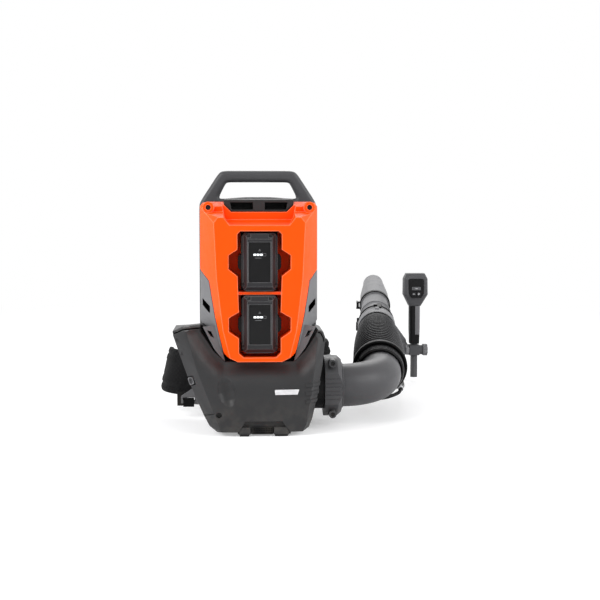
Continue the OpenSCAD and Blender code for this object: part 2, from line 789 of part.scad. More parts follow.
// Radius of a hose part of the way along: over 1, the flare keeps it wide for longer
function hose_r(r0, r1, f, flare) = r0 + (r1 - r0) * pow(f, flare);

// Profile of a ribbed hose from s0 to s1: roots and crests in turn
function ribs(s0, s1, r0, r1, n, depth, flare = 1) = [for (k = [0 : 2 * n])
  let (f = k / (2 * n)) [hose_r(r0, r1, f, flare) - (k % 2 == 0 ? depth : 0), s0 + (s1 - s0) * f]];

hose_start = 14;
cuff_s = 48;
bellows_s = cuff_s + 12;
bellows_end = bellows_s + bellows_l;

// The inner hose fits over the elbow's end and narrows inside the bellows
module inner_hose() color(BLACK) on_tube() rotate_extrude($fn = 72) polygon(concat(
  [[elbow_r + 2.4, hose_start]], ribs(hose_start, 58, elbow_r + 8, elbow_r + 8, 4, 2.4),
  ribs(61, bellows_s + 60, elbow_r + 4, elbow_r + 4, 5, 2.4),
  [[elbow_r + 0.2, bellows_s + 60], [elbow_r + 0.2, 60], [elbow_r + 2.4, 57]]
));

module hose_cuff() color(BLACK) on_tube() difference() {
  rotate_extrude($fn = 96) polygon([
    [bellows_r - 3, cuff_s], [bellows_r + 1.5, cuff_s], [bellows_r + 1.5, bellows_s - seat],
    [bellows_r - 5, bellows_s - seat], [bellows_r - 5, 54], [elbow_r + 8 + seat, 54],
    [elbow_r + 8 + seat, 51], [bellows_r - 5, 51]
  ]);
}

module bellows() color(BLACK) on_tube() {
  flare = 2.8;
  depth = 3.4;
  rotate_extrude($fn = 72) polygon(concat(
    ribs(bellows_s, bellows_end, bellows_r, bellows_end_r, bellows_ribs, depth, flare),
    [for (f = [1 : -0.2 : -0.01])
      [hose_r(bellows_r, bellows_end_r, max(f, 0), flare) - depth - 1.8, bellows_s + bellows_l * max(f, 0)]]
  ));
}

module pipe() color(SILVER) on_tube() {
  bell_s = clamp_s - 47;
  bell_r = bellows_end_r + 3;
  rotate_extrude($fn = 96) polygon([
    // outside: the stub in the hose, the bell round its end, the sleeve of the clamp and the pipe
    [stub_r - 2.4, pipe_start], [stub_r, pipe_start], [stub_r, clamp_s - 10], [bell_r - 2.4, clamp_s - 10],
    [bell_r - 2.4, bell_s], [bell_r, bell_s], [bell_r, clamp_s - 6], [sleeve_r, clamp_s - 6],
    [sleeve_r, clamp_s + 36], [pipe_r + 1, clamp_s + 42], [pipe_r, handle_s + 7], [pipe_r + 2, handle_s + 8],
    [pipe_r + 2, handle_s + 12], [pipe_r, handle_s + 12], [pipe_r, pipe_end],
    // bore
    [pipe_r - 2.4, pipe_end], [pipe_r - 2.4, clamp_s + 30], [stub_r - 2.4, clamp_s]
  ]);
  // tab on the bell
  block([-5, -bell_r - 3, clamp_s - 22], [5, -bell_r + 1, clamp_s - 6]);
}

// Two hoops with an over-centre catch on top and hinges at the left
module hose_clamp() color(BLACK) on_tube(clamp_s) difference() {
  union() {
    translate([0, 0, -5]) cylinder(r = hoop_r, h = 11, $fn = 96);
    translate([0, 0, 28]) cylinder(r = hoop_r, h = 5, $fn = 96);
    // catch, with its lever bent down over the second hoop
    block([1, -hoop_r - 4, -4], [12, -hoop_r + 4, 36]);
    block([-8, -hoop_r - 2.5, 24], [14, -hoop_r + 3, 33]);
    // hinges
    block([-hoop_r - 6, -8, -5], [-hoop_r + 3, 14, 6]);
    block([-hoop_r - 4, -12, 28], [-hoop_r + 3, 2, 33]);
  }
  translate([0, 0, -20]) cylinder(r = sleeve_r + seat, h = 80, $fn = 96);
}

module nozzle() color(SILVER) on_tube(nozzle_s) difference() {
  rotate_extrude($fn = 96) polygon([
    [pipe_r + slip, 0], [pipe_r + slip + 2.4, 0], [pipe_r + slip + 2.4, 120],
    [mouth_r, nozzle_l - 18], [mouth_r, nozzle_l], [mouth_r - 2.4, nozzle_l],
    [mouth_r - 2.4, nozzle_l - 18], [pipe_r + slip, 118]
  ]);
  // slot that lets the lock ring squeeze the nozzle
  block([-1.5, pipe_r - 4, -1], [1.5, pipe_r + 8, 26]);
}

module lock_ring() color(BLACK) on_tube(nozzle_s) {
  r = pipe_r + slip + 2.4 + seat;
  difference() {
    union() {
      cylinder(r = r + 3, h = 16, $fn = 96);
      // ears of the lever at the left
      for (y = [-10, 6]) block([-r - 12, y, 2], [-r, y + 4, 14]);
    }
    translate([0, 0, -1]) cylinder(r = r, h = 18, $fn = 96);
    translate([-r - 8, -12, 8]) rotate([-90, 0, 0]) cylinder(r = 1.5, h = 24);
  }
}

module lock_lever() color(BLACK) on_tube(nozzle_s) {
  r = pipe_r + slip + 2.4 + seat;
  translate([-r - 8, 0, 8]) rotate([-90, 0, 0]) {
    translate([0, 0, -10]) cylinder(r = 1.5 - run, h = 20);
    translate([0, 0, -5.6]) cylinder(r = 3.4, h = 11.2);
    block([-3.4, -34, -5.6], [-0.6, 0, 5.6]);
  }
}

// ---- control handle ----

// The handle's frame: origin on the pivot of its clamp, upright, beside the pipe
handle_x = end_x + handle_s * sin(splay) + handle_reach;
handle_y = duct_y + (end_y + handle_s * cos(splay)) * cos(lift);
handle_z = duct_z + (end_y + handle_s * cos(splay)) * sin(lift) - handle_drop;
module at_handle() translate([handle_x, handle_y, handle_z]) children();

knob_x = handle_tube_d / 2 + 8;

module handle_bracket() color(GREY) {
  on_tube(handle_s) difference() {
    union() {
      translate([0, 0, 12.5]) cylinder(r = pipe_r + 5, h = 14, $fn = 96);
      // web that reaches down to the handle
      translate([0, 0, 12.5]) linear_extrude(14) polygon([
        [pipe_r - 12, pipe_r - 4], [pipe_r + 5, 10], [handle_reach - 20, handle_drop - 22],
        [handle_reach - 18, handle_drop - 2], [handle_reach - 34, handle_drop - 4]
      ]);
    }
    translate([0, 0, 11]) cylinder(r = pipe_r + seat, h = 17, $fn = 96);
  }
  // cheek that carries the clamp's pivot
  at_handle() difference() {
    union() {
      block([-handle_tube_d / 2 - 20, 6, -14], [-handle_tube_d / 2 - 8, 32, 18]);
      rod_x(14, -handle_tube_d / 2 - 12, -handle_tube_d / 2 - 5, 0, 0);
      block([-handle_tube_d / 2 - 12, 0, -14], [-handle_tube_d / 2 - 5, 30, 14]);
    }
    rod_x(4, -handle_tube_d / 2 - 30, 0, 0, 0);
  }
}

module handle_knob() color(GREY) at_handle() {
  difference() {
    rod_x(16, knob_x + 6, knob_x + 18, 0, 0);
    // finger grooves round its rim
    for (a = [0 : 45 : 315]) rotate([a, 0, 0]) rod_x(5, knob_x + 5, knob_x + 19, 19, 0);
  }
  rod_x(4 - run, -handle_tube_d / 2 - 14, knob_x + 7, 0, 0);
}

module handle_tube() color(GREY) at_handle() difference() {
  union() {
    translate([0, 0, -74]) cylinder(r = handle_tube_d / 2, h = 74 + head_z + 5);
    // clamp block round the pivot
    rod_x(13, -handle_tube_d / 2 - 4.5, knob_x + 5.5, 0, 0);
    block([-handle_tube_d / 2 - 4, -13, -14], [handle_tube_d / 2 + 4, 13, 14]);
  }
  translate([0, 0, -75]) cylinder(r = handle_tube_d / 2 - 2.4, h = 50);
  rod_x(4, -40, 40, 0, 0);
}

module grip() color(DARK) at_handle() difference() {
  hull() {
    translate([0, 0, 18]) linear_extrude(2) offset(r = 6) square([grip_w - 14, 22], center = true);
    translate([0, 0, 60]) linear_extrude(2) offset(r = 6) square([grip_w - 12, 26], center = true);
    translate([0, 0, head_z - 2]) linear_extrude(2) offset(r = 6) square([grip_w - 12, 24], center = true);
  }
  translate([0, 0, 10]) cylinder(r = handle_tube_d / 2 + seat, h = head_z);
  // slot that the trigger moves in, on the wearer's side
  block([-8, 9, trigger_z - 40], [8, 30, trigger_z + 4]);
  rod_x(pin_r + run, -11.3, 11.3, 12.5, trigger_z);
}

head_front = -head_d / 2 - 12;       // front face of the control head
keypad_y = head_front + 4 - seat;    // rear face of the keypad
keypad_outline = both([[17, 25.5], [20, 22.5], [20, -14], [13, -25.5]]);
cruise_x = -14;                      // pin of the cruise lever
cruise_y = 0;
cruise_z = head_h * 0.42;

module control_head() color(GREY) at_handle() translate([0, 0, head_z]) {
  difference() {
    hull() {
      translate([0, 0, seat]) linear_extrude(2) offset(r = 5) square([grip_w - 6, 24], center = true);
      translate([0, -head_d / 2 + 10, head_h * 0.36])
        linear_extrude(2) offset(r = 8) square([head_w - 16, head_d - 16], center = true);
      translate([0, -head_d / 2 + 12, head_h * 0.82])
        linear_extrude(2) offset(r = 8) square([head_w - 17, head_d - 16], center = true);
      translate([0, -head_d / 2 + 14, head_h - 2])
        linear_extrude(2) offset(r = 6) square([head_w - 26, head_d - 24], center = true);
    }
    translate([0, 0, -1]) cylinder(r = handle_tube_d / 2 + seat, h = 6.3);
    // seat of the keypad
    translate([0, head_front, head_h * 0.55]) xz(-9, 4) offset(delta = seat) polygon(keypad_outline);
    // slot of the cruise lever, on the wearer's side
    block([cruise_x - 11, cruise_y - 7, cruise_z], [cruise_x + 11, 20, cruise_z + 7]);
  }
}

module keypad() color(BLACK) at_handle() translate([0, keypad_y, head_z + head_h * 0.55]) difference() {
  xz(-4, 0) polygon(keypad_outline);
  // seats of the three buttons
  block([-12 - slip, -5, -4.5 - slip], [12 + slip, -1, 4.5 + slip]);
  for (x = [-6.6, 6.6]) block([x - 5.4 - slip, -5, -20 - slip], [x + 5.4 + slip, -1, -9 + slip]);
}

// A key with its lower edge drawn out into a plinth
module key(x, z, w, h) at_handle() translate([x, keypad_y, head_z + head_h * 0.55 + z])
  block([-w / 2, -5.2, -h / 2], [w / 2, -2.2, h / 2]);
module power_button() color(SILVER) key(0, 0, 24, 9);
module minus_button() color(SILVER) key(-6.6, -14.5, 10.8, 11);
module plus_button() color(SILVER) key(6.6, -14.5, 10.8, 11);

trigger_z = 106;           // height of the trigger's pin above the handle's pivot
pin_r = 1.6;
module throttle_trigger() color(BLACK) at_handle() translate([0, 0, trigger_z]) {
  rod_x(pin_r, -11, 11, 12.5, 0);
  translate([-7.4, 0, 0]) rotate([90, 0, 90]) linear_extrude(14.8) polygon([
    [10.6, 2.6], [15.5, 2.6], [27, -10], [26, -24], [20, -36], [17.5, -36], [19, -22], [10.6, -3]
  ]);
}

module cruise_lever() color(BLACK) at_handle() translate([cruise_x, cruise_y, head_z + cruise_z + slip]) {
  cylinder(r = 5, h = 7 - 2 * slip);
  linear_extrude(7 - 2 * slip) polygon([[-4, 0], [-5, 16], [0, 19], [5, 16], [4, 0]]);
}

// ---- control cable ----

cable_d = 8;
cable_path = [
  [handle_x - 44, handle_y + 26, handle_z + 2], [handle_x - 46, handle_y - 2, handle_z - 2],
  [376, 560, 78], [368, 500, 72], [361, 440, 66], [356, 380, 60], [352, 320, 54], [349, 260, 50],
  [342, 205, 50], [334, 165, 54], [327, 133, 56], [318, 108, 48], [290, 90, 34], [258, 76, 27],
  [228, 66, 24], [200, 60, 24], [176, 57, 27], [152, 54, 33], [134, 51, 40], [124, 50, 46]
];
module control_cable() color(BLACK)
  sweep(cable_path, [for (p = cable_path) [for (k = [0 : 7])
    cable_d / 2 * [cos(45 * k), sin(45 * k)]]]);

module cable_clip() color(SILVER) on_tube(cuff_s) rotate(46) {
  block([bellows_r + 1.5 + seat, -7, 1], [bellows_r + 3.3, 7, 11]);
  translate([bellows_r + 9, 0, 1]) difference() {
    cylinder(r = 6, h = 10);
    translate([0, 0, -1]) cylinder(r = 4.6, h = 12);
  }
}

// ---- harness ----

module back_pad() color(BLACK) {
  y = frame_back + seat;
  z = 165;
  difference() {
    hull() {
      xz(y, y + 6) polygon(both([[86, z + pad_h], [104, z + pad_h - 20], [112, z + 30], [96, z]]));
      xz(y + pad_t - 8, y + pad_t)
        polygon(both([[70, z + pad_h - 14], [88, z + pad_h - 34], [96, z + 40], [80, z + 14]]));
    }
    // channel down the spine and two across
    block([-9, y + pad_t - 8, z - 5], [9, y + pad_t + 1, z + pad_h + 5]);
    for (k = [1, 2])
      translate([-120, y + pad_t - 5, z + pad_h * k / 3 - 5]) cube([240, 6, 10]);
  }
}

pad_face = frame_back + seat + pad_t;
module shoulder_strap(side) {
  y = pad_face + strap_t / 2 + seat;
  path = [
    [58, y - 1, 400], [60, y + 10, 442], [66, y + 44, 462], [72, y + 82, 446], [78, y + 108, 404],
    [84, y + 118, 356], [90, y + 116, 304], [96, y + 102, 256], [98, y + 76, 216], [96, y + 40, 192],
    [90, y + 8, 186], [84, y - 1, 186]
  ];
  color(BLACK) mirror([side < 0 ? 1 : 0, 0, 0]) sweep(path,
    [for (i = [0 : len(path) - 1]) oval(strap_t, i < 8 ? strap_w : strap_w - 8 * (i - 7), 10)], [1, 0, 0]);
}
module shoulder_strap_left() shoulder_strap(-1);
module shoulder_strap_right() shoulder_strap(1);

// A hip pad curls round from the lower end of the frame
hip_y = frame_back + 2 * seat + 5 + 5.9;
hip_left = [[-92, hip_y, 96], [-126, hip_y + 2, 97], [-152, hip_y + 12, 98], [-176, hip_y + 28, 98],
  [-196, hip_y + 52, 98], [-206, hip_y + 84, 98], [-208, hip_y + 120, 98], [-202, hip_y + 150, 98]];
hip_right = [[92, hip_y, 104], [122, hip_y + 3, 108], [142, hip_y + 15, 112], [156, hip_y + 37, 114],
  [163, hip_y + 65, 114], [164, hip_y + 100, 114], [160, hip_y + 134, 112], [152, hip_y + 162, 110]];
module hip_pad(path, up) color(BLACK) sweep(path, [for (i = [0 : len(path) - 1])
  oval(14 + (i > 0 && i < 7 ? 0 : -2), hip_h - (i > 5 ? 14 * (i - 5) : 0))], up);
// their upper edges lean in to the wearer
module hip_pad_left() hip_pad(hip_left, [0.22, 0, 1]);
module hip_pad_right() hip_pad(hip_right, [-0.12, 0, 1]);

// Plates on the back of the frame that the hip belt hangs on
plate_y = frame_back + seat;
module hip_brackets() color(SILVER) difference() {
  xz(plate_y, plate_y + 5) {
    polygon([[-172, 33], [-172, 49], [-148, 65], [-112, 68], [-112, 118], [-66, 118], [-66, 28], [-134, 30]]);
    polygon([[66, 28], [66, 118], [112, 118], [112, 66], [134, 60], [134, 32]]);
  }
  // slot of the webbing
  block([-168, plate_y - 1, 40], [-142, plate_y + 6, 46]);
}

// The webbing goes through the slot and hangs down on both sides of the plate
module hip_webbing() color(BLACK) translate([-167, plate_y, 0]) {
  block([0, 5 + seat, 24], [24, 5 + seat + 2.4, 44.6]);
  block([0, -seat - 2.4, 26], [24, -seat, 44.6]);
  block([0, -seat - 2.4, 42.2], [24, 5 + seat + 2.4, 44.6]);
}

module buckle() color(BLACK) difference() {
  y = plate_y + 5 + 2 * seat + 2.4;
  block([-181, y, 26], [-159, y + 8, 57]);
  block([-176, y + 3, 32], [-165, y + 9, 50]);
}

handle_frame();
top_vent_panel();
core_housing();
battery_cover();
battery_bay();
controller_box();
side_grille_left();
side_grille_right();
fan_housing_front();
fan_housing_rear();
fan_scroll();
intake_grille();
impeller();
motor_rotor();
motor_stator();
bearings();
base_frame();
rubber_feet();
drain_grille();
cover_screws();
housing_screws();
battery_upper();
battery_lower();
charge_panel_upper();
charge_panel_lower();
latch_upper_left();
latch_upper_right();
latch_lower_left();
latch_lower_right();
outlet_collar();
elbow();
inner_hose();
hose_cuff();
bellows();
cable_clip();
control_cable();
hose_clamp();
pipe();
nozzle();
lock_ring();
lock_lever();
handle_bracket();
handle_knob();
handle_tube();
grip();
control_head();
keypad();
power_button();
minus_button();
plus_button();
throttle_trigger();
cruise_lever();
back_pad();
shoulder_strap_left();
shoulder_strap_right();
hip_pad_left();
hip_pad_right();
hip_brackets();
hip_webbing();
buckle();
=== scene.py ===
"""The looks of a backpack leaf blower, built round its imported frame.

Lengths are in millimetres, as in the frame's own source, and become metres where a mesh is made.
X is to the right seen from the battery side, Y points to the wearer and Z is up.
"""

from __future__ import annotations

import json
import logging
import math
from dataclasses import dataclass, field
from enum import Enum
from typing import Any, Optional, Sequence

import bmesh
import bpy
import numpy as np
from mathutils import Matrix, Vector
from mathutils.geometry import tessellate_polygon


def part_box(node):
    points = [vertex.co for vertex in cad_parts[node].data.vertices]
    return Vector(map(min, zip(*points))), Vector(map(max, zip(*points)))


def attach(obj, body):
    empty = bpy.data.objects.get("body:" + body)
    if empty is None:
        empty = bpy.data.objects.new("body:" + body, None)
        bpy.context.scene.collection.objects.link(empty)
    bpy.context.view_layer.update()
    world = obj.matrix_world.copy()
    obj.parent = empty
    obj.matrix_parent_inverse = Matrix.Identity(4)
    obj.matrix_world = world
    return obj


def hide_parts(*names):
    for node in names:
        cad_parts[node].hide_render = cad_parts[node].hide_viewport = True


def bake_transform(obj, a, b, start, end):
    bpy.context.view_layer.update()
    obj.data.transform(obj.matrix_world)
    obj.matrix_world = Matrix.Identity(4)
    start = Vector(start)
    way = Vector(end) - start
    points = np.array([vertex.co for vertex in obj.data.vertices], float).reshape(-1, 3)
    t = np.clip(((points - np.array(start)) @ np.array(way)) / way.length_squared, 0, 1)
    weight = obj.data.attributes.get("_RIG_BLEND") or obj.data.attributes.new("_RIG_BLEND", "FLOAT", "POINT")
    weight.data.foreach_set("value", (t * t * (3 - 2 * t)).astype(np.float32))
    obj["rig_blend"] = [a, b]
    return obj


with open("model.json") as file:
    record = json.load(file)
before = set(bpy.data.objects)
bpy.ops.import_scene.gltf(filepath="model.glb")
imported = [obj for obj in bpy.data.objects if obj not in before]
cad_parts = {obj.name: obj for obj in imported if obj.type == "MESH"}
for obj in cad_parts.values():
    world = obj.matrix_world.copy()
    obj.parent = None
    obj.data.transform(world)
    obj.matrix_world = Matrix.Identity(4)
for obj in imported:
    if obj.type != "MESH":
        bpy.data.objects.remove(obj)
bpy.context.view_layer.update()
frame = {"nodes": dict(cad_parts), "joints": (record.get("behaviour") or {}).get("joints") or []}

LOG = logging.getLogger("leaf_blower")
MM = 0.001
SIMULATED_FRAMES = 20
MERGE = 0.01
SHARP = 28.0
CORNER_SHARE = 0.45
BEVEL_SHARE = 0.42
ROUND_STEPS = 96
WHITE = (1.0, 1.0, 1.0, 1.0)
Colour = tuple[float, float, float]
Triple = tuple[float, float, float]
Pair = tuple[float, float]
Outline = tuple[Pair, ...]
Route = tuple[Triple, ...]
Points = np.ndarray


class Side(Enum):
    """A side of the machine, seen from the batteries; the value is the sign of X."""

    LEFT = -1
    RIGHT = 1

    @property
    def label(self) -> str:
        """The side's name in lower case."""
        return self.name.lower()


class Edges(Enum):
    """How a node's edges are rounded: cut into the mesh, or only in its shading."""

    CUT = "cut"
    SHADED = "shaded"


class Level(Enum):
    """Which of the two batteries."""

    UPPER = "upper"
    LOWER = "lower"


class Map(Enum):
    """What a pattern's coordinates follow: the object's axes, or the piece's own map."""

    OBJECT = "Object"
    CLOTH = "UV"


# ---------------------------------------------------------------------------------------------
# Shader maths
# ---------------------------------------------------------------------------------------------


class Shade:
    """A number that varies over a surface: it wraps a socket, and an expression adds Math nodes."""

    def __init__(self, bench: "Bench", socket: bpy.types.NodeSocket) -> None:
        """Keeps the node tree's bench and the output socket."""
        self.bench = bench
        self.socket = socket

    def _with(self, operation: str, *values: Any) -> "Shade":
        """Adds one Math node.

        Args:
            operation: The Math node's operation.
            *values: Its inputs in order, numbers or shades.

        Returns:
            The node's result.
        """
        inputs = dict(enumerate(values))
        return self.bench.shade("ShaderNodeMath", {"operation": operation}, inputs)

    def __add__(self, other: Any) -> "Shade":
        """Sum."""
        return self._with("ADD", self, other)

    def __radd__(self, other: Any) -> "Shade":
        """Sum, number first."""
        return self._with("ADD", other, self)

    def __sub__(self, other: Any) -> "Shade":
        """Difference."""
        return self._with("SUBTRACT", self, other)

    def __rsub__(self, other: Any) -> "Shade":
        """Difference, number first."""
        return self._with("SUBTRACT", other, self)

    def __mul__(self, other: Any) -> "Shade":
        """Product."""
        return self._with("MULTIPLY", self, other)

    def __rmul__(self, other: Any) -> "Shade":
        """Product, number first."""
        return self._with("MULTIPLY", other, self)

    def sine(self) -> "Shade":
        """Sine of the value in radians."""
        return self._with("SINE", self)

    def size(self) -> "Shade":
        """The value without its sign."""
        return self._with("ABSOLUTE", self)

    def power(self, exponent: float) -> "Shade":
        """The value raised to an exponent."""
        return self._with("POWER", self, exponent)

    def above(self, limit: float) -> "Shade":
        """1 where the value is over a limit, else 0."""
        return self._with("GREATER_THAN", self, limit)

    def between(self, low: float, high: float) -> "Shade":
        """0 at low and 1 at high, with a straight ramp between and no value past them.

        Args:
            low: Value that gives 0.
            high: Value that gives 1.

        Returns:
            The ramp.
        """
        inputs = {"Value": self, "From Min": low, "From Max": high}
        return self.bench.shade("ShaderNodeMapRange", {"clamp": True}, inputs, "Result")


class Bench:
    """Builds the node tree of a material or of the world."""

    def __init__(self, owner: bpy.types.ID, output: str = "ShaderNodeOutputMaterial") -> None:
        """Empties the tree and adds its output node.

        Args:
            owner: The material or world.
            output: Type of its output node.
        """
        owner.use_nodes = True
        self.owner = owner
        self.tree = owner.node_tree
        self.tree.nodes.clear()
        self.output = self.tree.nodes.new(output)

    def node(self, kind: str, settings: dict[str, Any], inputs: dict[Any, Any]) -> bpy.types.Node:
        """Adds a node, sets it up and links its inputs.

        Args:
            kind: The node's type.
            settings: Its own properties, such as an operation; they are set first.
            inputs: Values or links of its sockets, by name or by place.

        Returns:
            The new node.
        """
        made = self.tree.nodes.new(kind)
        for name, value in settings.items():
            setattr(made, name, value)
        for key, value in inputs.items():
            target = made.inputs[key]
            if isinstance(value, Shade):
                self.tree.links.new(value.socket, target)
            elif isinstance(value, bpy.types.NodeSocket):
                self.tree.links.new(value, target)
            else:
                target.default_value = value
        return made

    def shade(self, kind: str, settings: dict[str, Any], inputs: dict[Any, Any], out: Any = 0) -> Shade:
        """Adds a node and wraps one of its outputs.

        Args:
            kind: The node's type.
            settings: Its own properties.
            inputs: Values or links of its sockets.
            out: Name or place of the output.

        Returns:
            The wrapped output.
        """
        return Shade(self, self.node(kind, settings, inputs).outputs[out])

    def noise(self, grain: float, detail: float, stretch: Triple = (1.0, 1.0, 1.0)) -> Shade:
        """A cloudy pattern on Object coordinates.

        Args:
            grain: Size of its features in millimetres.
            detail: Number of finer octaves.
            stretch: How much denser it is along each axis.

        Returns:
            A value from 0 to 1.
        """
        place = self.node("ShaderNodeTexCoord", {}, {}).outputs["Object"]
        turned = self.node("ShaderNodeMapping", {}, {"Vector": place, "Scale": stretch}).outputs[0]
        inputs = {"Vector": turned, "Scale": 1.0 / (grain * MM), "Detail": detail}
        return self.shade("ShaderNodeTexNoise", {}, inputs)

    def axis(self, name: str, source: Map = Map.OBJECT) -> Shade:
        """One coordinate of the surface in metres.

        Args:
            name: X, Y or Z.
            source: What the coordinate follows.

        Returns:
            The coordinate.
        """
        place = self.node("ShaderNodeTexCoord", {}, {}).outputs[source.value]
        return self.shade("ShaderNodeSeparateXYZ", {}, {0: place}, name)

    def blend(self, first: Any, second: Any, factor: Any) -> bpy.types.NodeSocket:
        """Mixes two colours.

        Args:
            first: Colour where the factor is 0.
            second: Colour where the factor is 1.
            factor: The share of the second.

        Returns:
            The mixed colour's socket.
        """
        made = self.node("ShaderNodeMix", {"data_type": "RGBA"}, {"Factor": factor, 6: first, 7: second})
        return made.outputs[2]

    def edges(self, radius: float) -> Shade:
        """Finds edges: 1 where the rounded normal leans away from the surface's own, 0 on the flat.

        Args:
            radius: Radius that the edges get, in millimetres.

        Returns:
            The mask.
        """
        soft = self.node("ShaderNodeBevel", {"samples": 6}, {"Radius": radius * MM}).outputs[0]
        own = self.node("ShaderNodeNewGeometry", {}, {}).outputs["Normal"]
        lean = self.shade("ShaderNodeVectorMath", {"operation": "DOT_PRODUCT"}, {0: soft, 1: own}, "Value")
        return lean.between(0.998, 0.95)

    def bump(self, height: Shade, depth: float, edge: float = 0.0) -> bpy.types.NodeSocket:
        """Turns a height into a normal, over edges that are rounded first.

        Args:
            height: The height, 0 to 1.
            depth: What 1 stands for, in millimetres.
            edge: Radius that the edges get, in millimetres.

        Returns:
            The normal's socket.
        """
        inputs: dict[Any, Any] = {"Height": height, "Distance": depth * MM}
        if edge > 0:
            inputs["Normal"] = self.node("ShaderNodeBevel", {"samples": 4}, {"Radius": edge * MM}).outputs[0]
        return self.node("ShaderNodeBump", {}, inputs).outputs[0]

    def close(self, shader: bpy.types.NodeSocket) -> None:
        """Links the last shader to the output."""
        self.tree.links.new(shader, self.output.inputs["Surface"])

    def surface(self, **sockets: Any) -> bpy.types.Material:
        """Adds the Principled shader and closes the tree.

        Args:
            **sockets: Values or links of the shader's sockets, with _ for a space.

        Returns:
            The finished material.
        """
        inputs = {name.replace("_", " "): value for name, value in sockets.items()}
        self.close(self.node("ShaderNodeBsdfPrincipled", {}, inputs).outputs[0])
        return self.owner


def linear(colour: Colour, gain: float = 1.0) -> tuple[float, float, float, float]:
    """Turns a display colour into the linear one that a shader takes.

    Args:
        colour: Red, green and blue from 0 to 255.
        gain: Factor on the linear values.

    Returns:
        Linear red, green, blue and an alpha of 1.
    """
    share = np.asarray(colour) / 255
    low, high = share / 12.92, ((share + 0.055) / 1.055) ** 2.4
    values = np.where(share <= 0.04045, low, high) * gain
    return (*(float(v) for v in values), 1.0)


def paler(colour: Colour, step: float) -> tuple[float, float, float, float]:
    """A colour a few steps of 255 paler, as a linear one."""
    return linear(tuple(c + step for c in colour))


# ---------------------------------------------------------------------------------------------
# Finishes
# ---------------------------------------------------------------------------------------------


@dataclass(frozen=True)
class Finish:
    """A surface finish. Each kind of finish gives its own node tree in `build`."""

    name: str
    slot: str
    colour: Colour
    roughness: float = 0.5
    edge: float = 0.0

    def build(self, bench: Bench) -> bpy.types.Material:
        """Builds the node tree; each kind of finish has its own.

        Args:
            bench: Where its nodes are made.

        Returns:
            The material.
        """
        raise NotImplementedError

    def material(self) -> bpy.types.Material:
        """The finish's material, made once."""
        return bpy.data.materials.get(self.name) or self.build(Bench(bpy.data.materials.new(self.name)))


@dataclass(frozen=True)
class Moulded(Finish):
    """Injection moulded plastic with a spark-eroded grain, faint flow marks, scuffs, dust and, where asked
    for, a painted highlight along its edges.
    """

    grain: float = 1.1
    grain_depth: float = 0.05
    mottle: float = 0.10
    scuffs: float = 0.10
    specular: float = 0.3
    # Share of the painted edge highlight: a paler colour along edges that stands in for light catching them.
    rub: float = 0.0
    edge_highlight_whiteness: float = 0.5
    scuff_stretch: Triple = (0.25, 1.0, 2.6)
    dust: Colour = (150, 142, 130)
    dust_top: float = 90.0
    dust_share: float = 0.10
    dust_rough: float = 0.15
    gloss_drift: float = 0.14

    def painted(self, bench: Bench, colour: bpy.types.NodeSocket) -> bpy.types.NodeSocket:
        """The colour under the dust: one plastic all over."""
        return colour

    def build(self, bench: Bench) -> bpy.types.Material:
        """Mottles the colour, paints a highlight along the edges and adds scuffs to the gloss and grain to
        the bump.

        Args:
            bench: Where its nodes are made.

        Returns:
            The material.
        """
        cloud = bench.noise(70, 3)
        speck = bench.noise(3.5, 2)
        tone = (cloud * 0.7 + speck * 0.3).between(0.3, 0.7)
        colour = bench.blend(linear(self.colour, 1 - self.mottle), linear(self.colour, 1 + self.mottle), tone)
        scuff = bench.noise(9, 4, self.scuff_stretch).between(0.58, 0.72)
        dust = bench.axis("Z").between(self.dust_top * MM, 0.0) * bench.noise(22, 4).between(0.4, 0.7)
        dust_and_edge_highlight = bench.blend(self.painted(bench, colour), linear(self.dust), dust * self.dust_share)
        # Painted highlight: edges, convex and concave alike, are mixed toward white to stand in for light
        # glinting on rounded edges.
        if self.rub:
            pale = linear(tuple(c + (255 - c) * self.edge_highlight_whiteness for c in self.colour))
            dust_and_edge_highlight = bench.blend(dust_and_edge_highlight, pale, bench.edges(self.edge) * self.rub)
        drift = (bench.noise(26, 3) - 0.5) * self.gloss_drift
        rough = drift + self.roughness + scuff * self.scuffs + dust * self.dust_rough
        height = bench.noise(self.grain, 1)
        return bench.surface(
            Base_Color=dust_and_edge_highlight,
            Roughness=rough,
            Normal=bench.bump(height, self.grain_depth, self.edge),
            Specular_IOR_Level=self.specular,
        )


@dataclass(frozen=True)
class TwoShot(Moulded):
    """Two plastics moulded onto each other, which meet on a plane across X."""

    second: Colour = (120, 120, 122)
    split: float = 0.0
    below: float = 0.0

    def painted(self, bench: Bench, colour: bpy.types.NodeSocket) -> bpy.types.NodeSocket:
        """Gives the side past the plane the second colour, down to a height.

        Args:
            bench: Where the nodes are made.
            colour: The first plastic's colour.

        Returns:
            The colour with both plastics in it.
        """
        past = bench.axis("X").above(self.split * MM) * bench.axis("Z").above(self.below * MM)
        return bench.blend(colour, linear(self.second), past)


